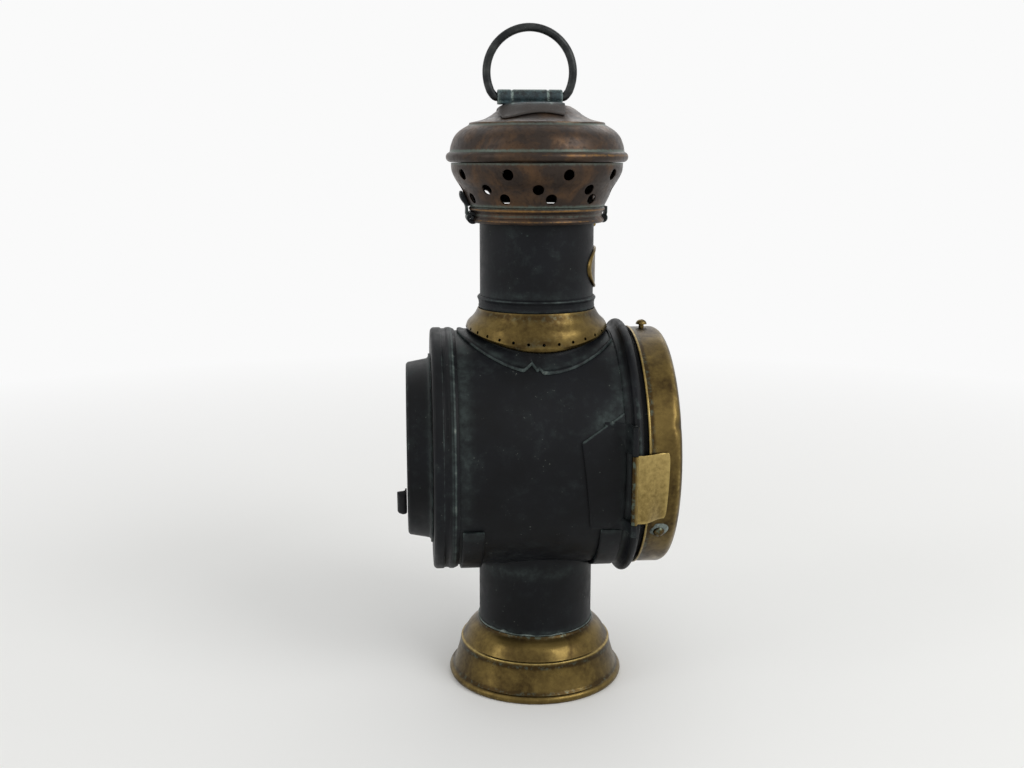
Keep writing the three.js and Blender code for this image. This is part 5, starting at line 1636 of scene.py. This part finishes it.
def make_retaining_ring():
    spigot = high("lens_retaining_ring", Y)
    stop = LENS_REAR - FIT
    inner = DRUM_R - SHEET - FIT * 2
    seat = BEZEL_WALL_R - BRASS_SHEET - FIT
    rear = low("lens_retaining_ring", X)
    hold = LENS_R - SHEET
    section = [(inner - SHEET, rear), (inner, rear), (inner, BEZEL_REAR + FIT), (seat, BEZEL_REAR + FIT),
               (seat, stop), (hold, stop), (hold, stop - SHEET), (inner - SHEET, stop - SHEET)]
    section = eased([(min(r, spigot), s) for r, s in section], 0.2)
    ring = turned("lens_spigot", closed_fine(section, 1.5), "drum")
    dressed(ring, "lens_door", *PAINTED, "lens_retaining_ring", worn=lambda p: bell(p[X], rear, 0.6))


# Hinge and catch of the lens door

# Hinge pin: its place in plan, and the radii of its knuckles and of their bore
LENS_KNUCKLE_R = 1.6
LENS_PIN = (38.9, -(RING_R + FIT + LENS_KNUCKLE_R), LENS_KNUCKLE_R, 0.95)


def make_lens_hinge_leaf():
    pin_x, pin_y, knuckle, bore = LENS_PIN
    bottom, top = span("lens_hinge_leaf", Z)
    front = high("lens_hinge_leaf", X)
    on_bezel = BEZEL_R + FIT
    bridge = (RING_END - 1, BEZEL_REAR + 8)

    def leaf_point(u, v, side):
        # The front edge leans and its corners are round, as if cut with shears and filed
        z = bottom + (top - bottom) * v
        reach = front - 0.9 * (1 - v) - 0.8 * abs(v * 2 - 1) ** 12
        x = pin_x + (reach - pin_x) * u
        settle = rise(x, *bridge)
        out = BRASS_SHEET * side
        level = pin_y + knuckle * 0.95 - out
        flank = -sqrt(max((on_bezel + out) ** 2 - (z - DRUM_Z) ** 2, 0))
        return (x, level * (1 - settle) + flank * settle, z)
    leaf = slab("hinge_leaf", 36, 40, leaf_point, edge=0.18)
    knuckled(leaf, pin_x, pin_y, bottom, top, knuckle, bore)

    # Brighter towards the top as painted light from above; the top and front edges are rubbed and also carry
    # painted highlight.
    def worn(p):
        edge = bell(p[Z], top, 0.8) + bell(p[X], front - 0.5, 1.0) + 0.6 * bell(p[Z], bottom, 0.8)
        return (0.65 + 0.25 * rise(p[Z], bottom, top) + 0.7 * edge) * rise(p[X], pin_x, pin_x + 2)
    dressed(leaf, "lens_door", "aged_brass", rubbed_brass, "lens_hinge_leaf",
            worn=worn, dull=lambda p: 1.6 * bell(p[X], pin_x - 1.2, 1.2))


def make_lens_hinge_patch():
    pin_x, pin_y, knuckle, bore = LENS_PIN
    bottom, top = span("lens_hinge_leaf", Z)
    inner = DRUM_R + FIT
    rear, edge_x = low("lens_hinge_patch", X), RING_START - FIT
    foot, crown = span("lens_hinge_patch", Z)
    shoulder = DRUM_Z + DRUM_R * 0.26

    def patch_point(u, v, side):
        z = foot + (crown - foot) * u
        if z < shoulder:
            start = rear + 5.1 * (shoulder - z) / (shoulder - foot)
        else:
            start = rear + (edge_x - rear - 0.5) * (z - shoulder) / (crown - shoulder)
        radius = inner + 0.8 * side
        return (start + (edge_x - start) * v, -sqrt(radius ** 2 - (z - DRUM_Z) ** 2), z)
    patch = slab("hinge_patch", 60, 16, patch_point, edge=0.15)
    for start, end in ((top + FIT, top + FIT + 13.6), (bottom - FIT - 5.4, bottom - FIT)):
        root = -sqrt(inner ** 2 - ((start + end) / 2 - DRUM_Z) ** 2)
        line = [(edge_x - 9.6, root + 1.2), (edge_x - 3.4, root - 0.4), (edge_x, root - 2.6),
                (pin_x - 0.4, pin_y + 0.1)]
        fused(patch, upright_strip("arm", line, -1.1, start, end))
        fused(patch, drill((pin_x, pin_y, start), (pin_x, pin_y, end), knuckle, 36))
    carved(patch, drill((pin_x, pin_y, foot - 9), (pin_x, pin_y, crown + 9), bore, 28))

    def worn(p):
        border = bell(p[X], rear + 2.5, 2.0) * 0.4
        border += bell(p[Z], crown - (edge_x - p[X]) * PATCH_SLANT, 0.9)
        return border + 0.35 * bell(p[X], pin_x, 1.8) + 0.4 * bell(p[Z], foot, 1)
    dressed(patch, "lamp_body", *PAINTED, "lens_hinge_patch",
            worn=worn, dull=lambda p: 0.3 * bell(p[X], pin_x - 3, 2.5))


def make_lens_hinge_pin():
    pin_x, pin_y = LENS_PIN[:2]
    ends = [(pin_x, pin_y, z) for z in (low("lens_hinge_pin", Z) + 0.3, high("lens_hinge_pin", Z) - 0.3)]
    pin = rod("hinge_wire", *ends, 0.8)
    dressed(pin, "lamp_body", *WIRE, "lens_hinge_pin")


def make_lens_catch():
    low_end, high_end = span("lens_catch_spring", Z)
    reach = high("lens_catch_spring", Y)
    over_bead = RING_R + FIT
    rest = BEZEL_R + FIT * 3
    start = low("lens_catch_spring", X)
    line = [(start, DRUM_R + FIT), (RING_START - 1.2, DRUM_R + FIT), (39.0, over_bead + 0.15),
            (RING_END, over_bead + 0.1), (BEZEL_REAR + 0.5, rest), (SCREW_STATION, rest),
            (SCREW_STATION + 1.5, rest + 1.2), (SCREW_STATION + 2.2, reach - 0.2)]
    spring = upright_strip("catch_spring", line, -BRASS_SHEET, low_end, high_end)
    heights = [(low_end + high_end) / 2 + s for s in (-3.2, 3.2)]
    rivets = [rod("rivet", (start + 3, DRUM_R + 0.9, z), (start + 3, DRUM_R + 1.9, z), 1.3) for z in heights]
    spring = gathered("catch_spring", [spring] + rivets)

    def worn(p):
        return 0.7 * bell(p[Z], low_end, 0.7) + 0.7 * bell(p[Z], high_end, 0.7) \
            + 0.8 * bell(p[X], SCREW_STATION + 2, 1.5)
    dressed(spring, "lamp_body", "aged_brass", rubbed_brass, "lens_catch_spring", worn=worn)


def make_lens_catch_stud():
    radius, height, root = 2.7, 0.8, 0.3
    head = low_dome(radius, height)[:-1] + [(0, height)]
    stud = turned("catch_stud", head + [(0, -root), (radius, -root)], facets=36)
    moved(stud, Matrix.Rotation(-pi / 2, 4, "X"),
          Matrix.Translation((middle("lens_catch_stud", X), BEZEL_WALL_R + 0.2, DRUM_Z)))
    dressed(stud, "lens_door", "aged_brass", rubbed_brass, "lens_catch_stud", worn=lambda p: 0.8)


# Rear door: a stepped cup with its pull tab, hinge and reflector

def make_rear_door():
    flange = high("rear_door_cup", X)
    radius = CUP_FLANGE_R - 4
    wall = radius + 1.6
    corner = 2.0
    foot = flange - BRASS_SHEET * 1.5
    press = radius * 0.62
    outside = [(CUP_FLANGE_R, flange - BRASS_SHEET), (wall + 0.9, flange - BRASS_SHEET - 0.05),
               (wall, foot - 0.5)]
    outside += arc((radius - corner, CUP_FACE + corner), corner, 0, -90, 12)
    outside += curved([(press + corner, CUP_FACE), (press + 1.2, CUP_FACE + 0.25), (press, CUP_FACE + 1)], 4)
    outside += [(0, CUP_FACE + 1)]
    inside = [(max(r - BRASS_SHEET, 0), min(s + BRASS_SHEET, flange)) for r, s in outside][:1:-1]
    section = [(CUP_FLANGE_R, flange)] + outside + inside + [(wall - BRASS_SHEET, flange)]
    dings = [(-2.2, -60, 0.14, 3, 0.5), (0.9, -59, 0.2, 4, 0.5)]
    outline = closed_fine(section, 0.9)

    def pressed(angle):
        return [(r - dished(angle, s, dings) * rise(r, wall - 3, wall - 1), s) for r, s in outline]
    cup = turned("rear_cup", pressed, "drum")

    def worn(p):
        r = drum_radius(p)
        corner_line = bell(r, radius - 0.4, 1.0) * bell(p[X], CUP_FACE + 0.5, 1.2)
        return 0.7 * bell(r, CUP_FLANGE_R, 0.7) + 0.6 * corner_line

    def dull(p):
        return 0.7 * bell(p[X], foot, 1.2) + 0.6 * bell(drum_radius(p), press, 1.2)
    dressed(cup, "rear_door", *PAINTED, "rear_door_cup", worn=worn, dull=dull)


def make_reflector():
    rim = high("reflector", X)
    lip = high("reflector", Y)
    dish = lip - 0.6
    depth = 8.6
    bowl = [(dish * i / 24, rim - depth * (1 - (i / 24) ** 2)) for i in range(25)]
    back = [(r, s - BRASS_SHEET) for r, s in bowl][::-1]
    section = bowl + [(lip, rim), (lip, rim - BRASS_SHEET)] + back
    mirror = turned("mirror_dish", closed_fine(eased(section, 0.2), 2.0), "drum", smooth=30)
    dressed(mirror, "rear_door", "bare_tin", dull_tin, "reflector")


def make_pull_tab():
    """A strip soldered to the near edge of the cup and curled outwards, under thick paint."""
    half = 6.25
    radius = CUP_FLANGE_R - 5.4
    curl = CUP_FACE - low("rear_door_tab", X)
    face = CUP_FACE - FIT
    line = [(radius - 6, face), (radius - 3.4, face), (radius - 1.6, face - 0.25),
            (radius - 0.9, face - curl * 0.36), (radius - 1.7, face - curl * 0.72),
            (radius - 3.1, face - curl + FIT + 0.15)]
    # Paint and solder fill the curl, so that it is one lump between two outlines
    filled = [(radius - 6, face - 0.8), (radius - 4.9, face - 0.9), (radius - 4.5, face - 1.3),
              (radius - 4.2, face - curl * 0.45), (radius - 4.0, face - curl * 0.75),
              (radius - 3.7, face - curl + 0.5)]
    outer, inner = curved(line, 5), curved(filled, 5)

    def lump_point(u, v, side):
        r, x = (inner if side else outer)[round(u * (len(outer) - 1))]
        return (x, half * (v * 2 - 1), r)
    tab = slab("tab", len(outer) - 1, 8, lump_point)
    near_side = radians(117)
    moved(tab, Matrix.Rotation(near_side, 4, "X"), Matrix.Translation((0, 0, DRUM_Z)))
    dressed(tab, "rear_door", *PAINTED, "rear_door_tab",
            worn=lambda p: 0.2 + 0.4 * bell(p[X], CUP_FACE - curl, 1.5))


def make_rear_hinge():
    x, y = middle("rear_hinge_pin", X), middle("rear_hinge_pin", Y)
    knuckle, bore = 2.0, 1.05
    for name, body, near, far in (("rear_hinge_leaf", "rear_door", low("rear_hinge_leaf", Y), y),
                                  ("rear_hinge_lug_lower", "lamp_body", y, high("rear_hinge_lug_lower", Y)),
                                  ("rear_hinge_lug_upper", "lamp_body", y, high("rear_hinge_lug_upper", Y))):
        (bottom, top), face = span(name, Z), high(name, X)
        leaf = block("leaf", (face - BRASS_SHEET, near, bottom), (face, far, top))
        rounded(knuckled(leaf, x, y, bottom, top, knuckle, bore))
        leaf.name = name.replace("hinge_", "")
        dressed(leaf, body, *PAINTED, name, worn=lambda p: 0.6 * bell(p[X], x - knuckle, 0.8))
    ends = [(x, y, z) for z in (low("rear_hinge_pin", Z) + 0.3, high("rear_hinge_pin", Z) - 0.3)]
    dressed(rod("rear_pin", *ends, 0.9), "lamp_body", *WIRE, "rear_hinge_pin")


# Oil font and burner

def make_font():
    radius = high("oil_font", X)
    bottom, top = span("oil_font", Z)
    wall = 0.7
    bend = wall * 5
    mouth = 9
    outside = [(mouth, top)] + arc((radius - bend, top - bend), bend, 90, 0, 12)
    outside += [(radius, bottom + 0.5), (radius - 0.5, bottom), (0, bottom)]
    inside = [(max(r - (wall if r > mouth else 0), 0), s - wall if s > bottom + 1 else bottom + wall)
              for r, s in outside][::-1]
    tank = turned("oil_tank", closed_fine(outside + inside, 1.8))
    dressed(tank, "font", "bare_tin", dull_tin, "oil_font", worn=lambda p: bell(p[Z], top, 1))


def make_font_base():
    rim = high("font_base", X)
    foot, lid = span("font_base", Z)
    hollow, deep = 22.2, 1.3
    notches = 60

    def milled(angle):
        edge = rim - 0.3 * (0.5 + 0.5 * cos(angle * notches))
        return [(0, lid), (edge - 0.4, lid), (edge, lid - 0.4), (edge, foot + 0.4), (edge - 0.4, foot),
                (hollow, foot), (hollow - 0.6, foot + deep), (0, foot + deep)]
    base = turned("font_cap", milled, facets=480)
    dressed(base, "font", *SPUN, "font_base", worn=lambda p: 0.8 * bell(chimney_radius(p), rim, 0.6))


def spindle_hole(start, end):
    """A cut round the winder's spindle, between two places on its way from rear to front."""
    y, z = middle("wick_winder", Y), middle("wick_winder", Z)
    return drill((start, y, z), (end, y, z), 1.2, 24)


def make_burner_base():
    radius = high("burner_base", X)
    bottom, top = span("burner_base", Z)
    seat = high("oil_font", Z) + FIT
    waist, plug = radius * 0.78, 8.7
    half_x, half_y = high("wick_tube", X), high("wick_tube", Y)
    collar = curved([(radius, top - 1.8), (radius - 0.6, top - 3.2), (waist + 0.6, seat + 4.4),
                     (waist, seat + 3.4)], 4)
    section = [(0, top), (radius - 0.3, top), (radius, top - 0.3)] + collar
    section += [(waist, seat), (plug, seat), (plug, bottom), (0, bottom)]
    base = turned("burner_collar", closed_fine(section, 1.0), facets=96)
    slot = block("slot", (-half_x - FIT, -half_y - FIT, 0), (half_x + FIT, half_y + FIT, top + 4))
    carved(base, slot)
    dressed(base, "font", *SPUN, "burner_base", worn=lambda p: 0.8 * bell(chimney_radius(p), radius, 0.6))


def make_wick_tube():
    half_x, half_y = high("wick_tube", X), high("wick_tube", Y)
    low_end, high_end = span("wick_tube", Z)
    sleeve = block("sleeve", (-half_x, -half_y, low_end), (half_x, half_y, high_end), 0.5)
    inner = block("inner", (-6.25, -1.25, low_end - 4), (6.25, 1.25, high_end + 4))
    carved(sleeve, inner)
    carved(sleeve, spindle_hole(-30, 30))
    sleeve.name = "wick_sleeve"
    dressed(sleeve, "font", *SPUN, "wick_tube", dull=lambda p: rise(p[Z], high_end - 8, high_end))


def make_burner_cone():
    cone_r = high("burner_cone", X)
    cone_foot, cone_top = span("burner_cone", Z)
    outline = curved([(0, cone_top), (cone_r * 0.42, cone_top - 0.9), (cone_r * 0.74, cone_top - 5.4),
                      (cone_r * 0.94, cone_foot + 3.6), (cone_r, cone_foot)])
    shell = [(max(r, 0), s) for r, s in offset(outline, 0.8)][::-1]
    shell[-1] = (0, cone_top - 0.85)
    shell[0] = (shell[0][0], cone_foot)
    cone = turned("flame_cone", closed_fine(outline + shell, 1.0), facets=96)
    flame = block("flame", (-7.4, -3.2, cone_foot), (7.4, 3.2, cone_top + 4))
    carved(cone, flame)
    dressed(cone, "font", *SPUN, "burner_cone",
            worn=lambda p: 0.4 * bell(p[Z], cone_foot, 1), dull=lambda p: bell(p[Z], cone_top, 4))


def make_gallery():
    cone_r, cone_foot = high("burner_cone", X), low("burner_cone", Z)
    hole = high("burner_base", X) - 1.8
    wide = high("burner_gallery", X)
    floor, high_rim = span("burner_gallery", Z)
    wall = wide - SHEET
    section = [(wide, high_rim), (wide, floor), (hole, floor), (hole, floor + SHEET),
               (cone_r - SHEET, floor + SHEET), (cone_r - SHEET, cone_foot - FIT), (wall, cone_foot - FIT),
               (wall, high_rim)]
    gallery = turned("gallery_ring", closed_fine(eased(section, 0.2), 0.9), facets=128)
    up = (floor + cone_foot) / 2
    ports = []
    count = 16
    for i in range(count):
        turn = tau * (i + 0.5) / count
        ends = [place("chimney", turn, r, up) for r in (cone_r - 3, wide + 2)]
        ports.append(drill(*ends, 1.1, 16))
    ports.append(spindle_hole(-30, -10))
    carved(gallery, gathered("ports", ports), tangled=True)
    dressed(gallery, "font", *SPUN, "burner_gallery", worn=lambda p: 0.7 * bell(p[Z], high_rim, 0.6))


def make_wick():
    low_end, high_end = span("wick", Z)
    half_x, half_y = high("wick", X), high("wick", Y)

    def point(u, v, side):
        # The burnt end is uneven
        z = low_end + (high_end - low_end) * v
        z -= 0.9 * rise(v, 0.97, 1) * (0.5 + 0.5 * sin(u * 23)) * (1 if 0 < u < 1 else 0.4)
        return (half_x * (u * 2 - 1), half_y * (side * 2 - 1) * (1 - 0.25 * abs(u * 2 - 1) ** 6), z)
    wick = slab("lamp_wick", 24, 120, point)
    dressed(wick, "wick", "cotton", woven_wick, "wick",
            dull=lambda p: rise(p[Z], high_end - 3.5, high_end - 1))


def make_winder():
    y, z = middle("wick_winder", Y), middle("wick_winder", Z)
    start, end = span("wick_winder", X)
    wheel_r, spindle, notches = 5.0, 0.9, 40

    def milled(angle):
        edge = wheel_r - 0.18 * (0.5 + 0.5 * cos(angle * notches))
        return [(0, 0), (edge - 1.2, 0), (edge - 0.3, 0.3), (edge, 0.7), (edge, 1.9), (edge - 0.3, 2.3),
                (edge - 1.2, 2.4), (spindle + 0.6, 2.6), (spindle, 3.4), (spindle, end - start - 0.3),
                (spindle - 0.3, end - start), (0, end - start)]
    winder = turned("winder_wheel", milled, facets=240)
    moved(winder, Matrix.Rotation(pi / 2, 4, "Y"), Matrix.Translation((start, y, z)))
    dressed(winder, "wick_winder", "aged_brass", rubbed_brass, "wick_winder",
            worn=lambda p: 0.8 * bell(p[X], start + 1.2, 1.2))


# Stage

ROOM_WHITE = linear("fafafa")
ROOM_LIGHT, ROOM_SEEN = 0.7, 1.0
# The paper keeps the lamp's shadow up to the first distance, and is plain white past the second, in metres
SHADOW_REACH, WHITE_REACH = 0.3, 1.0


def seen_plainly(add):
    """1 where the eye sees a thing directly, in metal or through glass, and 0 where it only gives light."""
    path = add("LightPath")
    direct = add("Math", [path["Is Camera Ray"], path["Is Glossy Ray"]], operation="ADD")[0]
    through = add("Math", [direct, path["Is Transmission Ray"]], operation="ADD")[0]
    return add("Math", [through, 1.0], operation="MINIMUM")[0]


def pale_floor():
    """Matt seamless paper: one even pale colour, which keeps the lamp's shadow."""
    made, add, shader, where = started("pale_floor")
    fed(shader, {"Base Color": bpy.context.scene.lamp_stage.floor_colour, "Roughness": 0.95,
                 "Specular IOR Level": 0.1})
    away = add("VectorMath", [where], operation="LENGTH")["Value"]
    far = add("MapRange", [away, SHADOW_REACH, WHITE_REACH])[0]
    white = add("Math", [far, seen_plainly(add)], operation="MULTIPLY")[0]
    plain = add("Emission", {"Color": ROOM_WHITE, "Strength": ROOM_SEEN})[0]
    mixed = add("MixShader", [white, shader.outputs[0], plain])[0]
    fed(made.node_tree.nodes["Material Output"], {"Surface": mixed})
    return made


def make_floor():
    reach, lift, bend = 3000, 1800, 500
    outline = [(-reach, 0), (reach - bend, 0)] + arc((reach - bend, bend), bend, -90, 0, 16) + [(reach, lift)]
    points = [(x, y, z) for y, z in outline for x in (-reach, reach)]
    faces = [(2 * i, 2 * i + 1, 2 * i + 3, 2 * i + 2) for i in range(len(outline) - 1)]
    floor = as_object("studio_paper", points, faces)
    floor.data.materials.append(pale_floor())


def make_world():
    """An even pale room: as bright as white to the eye and in reflections, and softer as a light."""
    world = bpy.data.worlds.new("pale_room")
    bpy.context.scene.world = world
    world.use_nodes = True
    add = functools.partial(node, world.node_tree)
    strength = add("MapRange", [seen_plainly(add), 0.0, 1.0, ROOM_LIGHT, ROOM_SEEN])[0]
    fed(world.node_tree.nodes["Background"], {"Color": ROOM_WHITE, "Strength": strength})


# Soft boxes: name, place and size in metres, and power in watts; each faces the middle of the lamp
SOFT_BOXES = [
    ("key_box", (0.95, -0.9, 0.95), (0.8, 0.8), 9.0),
    ("edge_box", (-1.2, -0.5, 0.7), (0.3, 1.1), 2.5),
    ("back_box", (0.3, 1.3, 1.1), (1.2, 0.6), 3.0),
]


def make_lights():
    aim = Vector((0, 0, DRUM_Z * MM))
    for name, spot, size, watts in SOFT_BOXES:
        light = bpy.data.lights.new(name, "AREA")
        light.shape = "RECTANGLE"
        light.size, light.size_y = size
        light.energy = watts
        box = bpy.data.objects.new(name, light)
        box.location = spot
        box.rotation_euler = (aim - Vector(spot)).to_track_quat("-Z", "Y").to_euler()
        bpy.context.scene.collection.objects.link(box)


def make_camera():
    stage = bpy.context.scene.lamp_stage
    ahead = Vector((sin(stage.turn), cos(stage.turn), 0))
    right = Vector((ahead.y, -ahead.x, 0))
    data = bpy.data.cameras.new("front_camera")
    data.sensor_width = 36.0
    data.lens = stage.focal
    camera = bpy.data.objects.new("front_camera", data)
    camera.location = -ahead * stage.distance - right * stage.shift_left + Vector((0, 0, stage.camera_height))
    camera.rotation_euler = (pi / 2 - stage.tilt, 0, -stage.turn)
    bpy.context.scene.collection.objects.link(camera)
    bpy.context.scene.camera = camera


# Operators

class MakeDrum(bpy.types.Operator):
    """Drum shell, rolled front ring and rear rim"""

    bl_idname = "carriage_lamp.drum"
    bl_label = "Drum"

    def execute(self, context):
        make_drum_shell()
        make_front_ring()
        make_rear_rim()
        return {"FINISHED"}


class MakeNeck(bpy.types.Operator):
    """Saddle flange on the drum and the pierced brass collar over it"""

    bl_idname = "carriage_lamp.neck"
    bl_label = "Neck"

    def execute(self, context):
        make_saddle_flange()
        make_collar()
        return {"FINISHED"}


class MakeChimney(bpy.types.Operator):
    """Chimney with its rolled ring and bare oval plate"""

    bl_idname = "carriage_lamp.chimney"
    bl_label = "Chimney"

    def execute(self, context):
        make_chimney()
        make_chimney_ring()
        make_oval_plate()
        return {"FINISHED"}


class MakeFoot(bpy.types.Operator):
    """Lower tube, brass foot with its solder, and the two straps under the drum"""

    bl_idname = "carriage_lamp.foot"
    bl_label = "Foot"

    def execute(self, context):
        make_lower_tube()
        make_foot()
        make_foot_solder()
        make_straps()
        return {"FINISHED"}


class MakeCap(bpy.types.Operator):
    """Pierced basket, neck band and stepped crown of the cap"""

    bl_idname = "carriage_lamp.cap"
    bl_label = "Cap"

    def execute(self, context):
        make_basket()
        make_neck_band()
        make_crown()
        return {"FINISHED"}


class MakeHandle(bpy.types.Operator):
    """Handle bracket and wire ring"""

    bl_idname = "carriage_lamp.handle"
    bl_label = "Handle"

    def execute(self, context):
        make_handle_bracket()
        make_ring_handle()
        return {"FINISHED"}


class MakeCapFittings(bpy.types.Operator):
    """Hinge and catch of the cap"""

    bl_idname = "carriage_lamp.cap_fittings"
    bl_label = "Cap hinge and catch"

    def execute(self, context):
        make_cap_hinge_leaf()
        make_cap_hinge_lugs()
        make_cap_hinge_pin()
        make_cap_catch()
        make_cap_catch_stud()
        return {"FINISHED"}


class MakeLensDoor(bpy.types.Operator):
    """Bezel, screws, lens and the ring that holds it"""

    bl_idname = "carriage_lamp.lens_door"
    bl_label = "Lens door"

    def execute(self, context):
        make_bezel()
        make_bezel_screws()
        make_screw_solder()
        make_lens()
        make_retaining_ring()
        return {"FINISHED"}


class MakeLensFittings(bpy.types.Operator):
    """Hinge and spring catch of the lens door"""

    bl_idname = "carriage_lamp.lens_fittings"
    bl_label = "Lens hinge and catch"

    def execute(self, context):
        make_lens_hinge_leaf()
        make_lens_hinge_patch()
        make_lens_hinge_pin()
        make_lens_catch()
        make_lens_catch_stud()
        return {"FINISHED"}


class MakeRearDoor(bpy.types.Operator):
    """Rear door with its reflector, pull tab and hinge"""

    bl_idname = "carriage_lamp.rear_door"
    bl_label = "Rear door"

    def execute(self, context):
        make_rear_door()
        make_reflector()
        make_pull_tab()
        make_rear_hinge()
        return {"FINISHED"}


class MakeBurner(bpy.types.Operator):
    """Oil font, burner, wick and winder"""

    bl_idname = "carriage_lamp.burner"
    bl_label = "Font and burner"

    def execute(self, context):
        make_font()
        make_font_base()
        make_burner_base()
        make_wick_tube()
        make_burner_cone()
        make_gallery()
        make_wick()
        make_winder()
        return {"FINISHED"}


class MakeStage(bpy.types.Operator):
    """Pale floor, even room, soft boxes and camera"""

    bl_idname = "carriage_lamp.stage"
    bl_label = "Stage"

    def execute(self, context):
        make_floor()
        make_world()
        make_lights()
        make_camera()
        context.scene.view_settings.view_transform = "Standard"
        return {"FINISHED"}


MAKERS = (MakeDrum, MakeNeck, MakeChimney, MakeFoot, MakeCap, MakeHandle, MakeCapFittings, MakeLensDoor,
          MakeLensFittings, MakeRearDoor, MakeBurner, MakeStage)


class CarriageLampPanel(bpy.types.Panel):
    """Lists the lamp's operators and settings"""

    bl_idname = "VIEW3D_PT_carriage_lamp"
    bl_label = "Carriage Lamp"
    bl_space_type = "VIEW_3D"
    bl_region_type = "UI"
    bl_category = "Carriage Lamp"

    def draw(self, context):
        for maker in MAKERS:
            self.layout.operator(maker.bl_idname)
        for group in SETTINGS:
            values = getattr(context.scene, group)
            for name in values.__annotations__:
                self.layout.prop(values, name)


SETTINGS = {"lamp_sizes": LampSizes, "lamp_finishes": LampFinishes, "lamp_stage": LampStage}


def register():
    for cls in (*SETTINGS.values(), *MAKERS, CarriageLampPanel):
        bpy.utils.register_class(cls)
    for name, group in SETTINGS.items():
        setattr(bpy.types.Scene, name, bpy.props.PointerProperty(type=group))


def unregister():
    for name in SETTINGS:
        delattr(bpy.types.Scene, name)
    for cls in (CarriageLampPanel, *MAKERS[::-1], *SETTINGS.values()):
        bpy.utils.unregister_class(cls)


def main():
    register()
    for maker in MAKERS:
        area, name = maker.bl_idname.split(".")
        getattr(getattr(bpy.ops, area), name)()


if __name__ == "__main__":
    main()
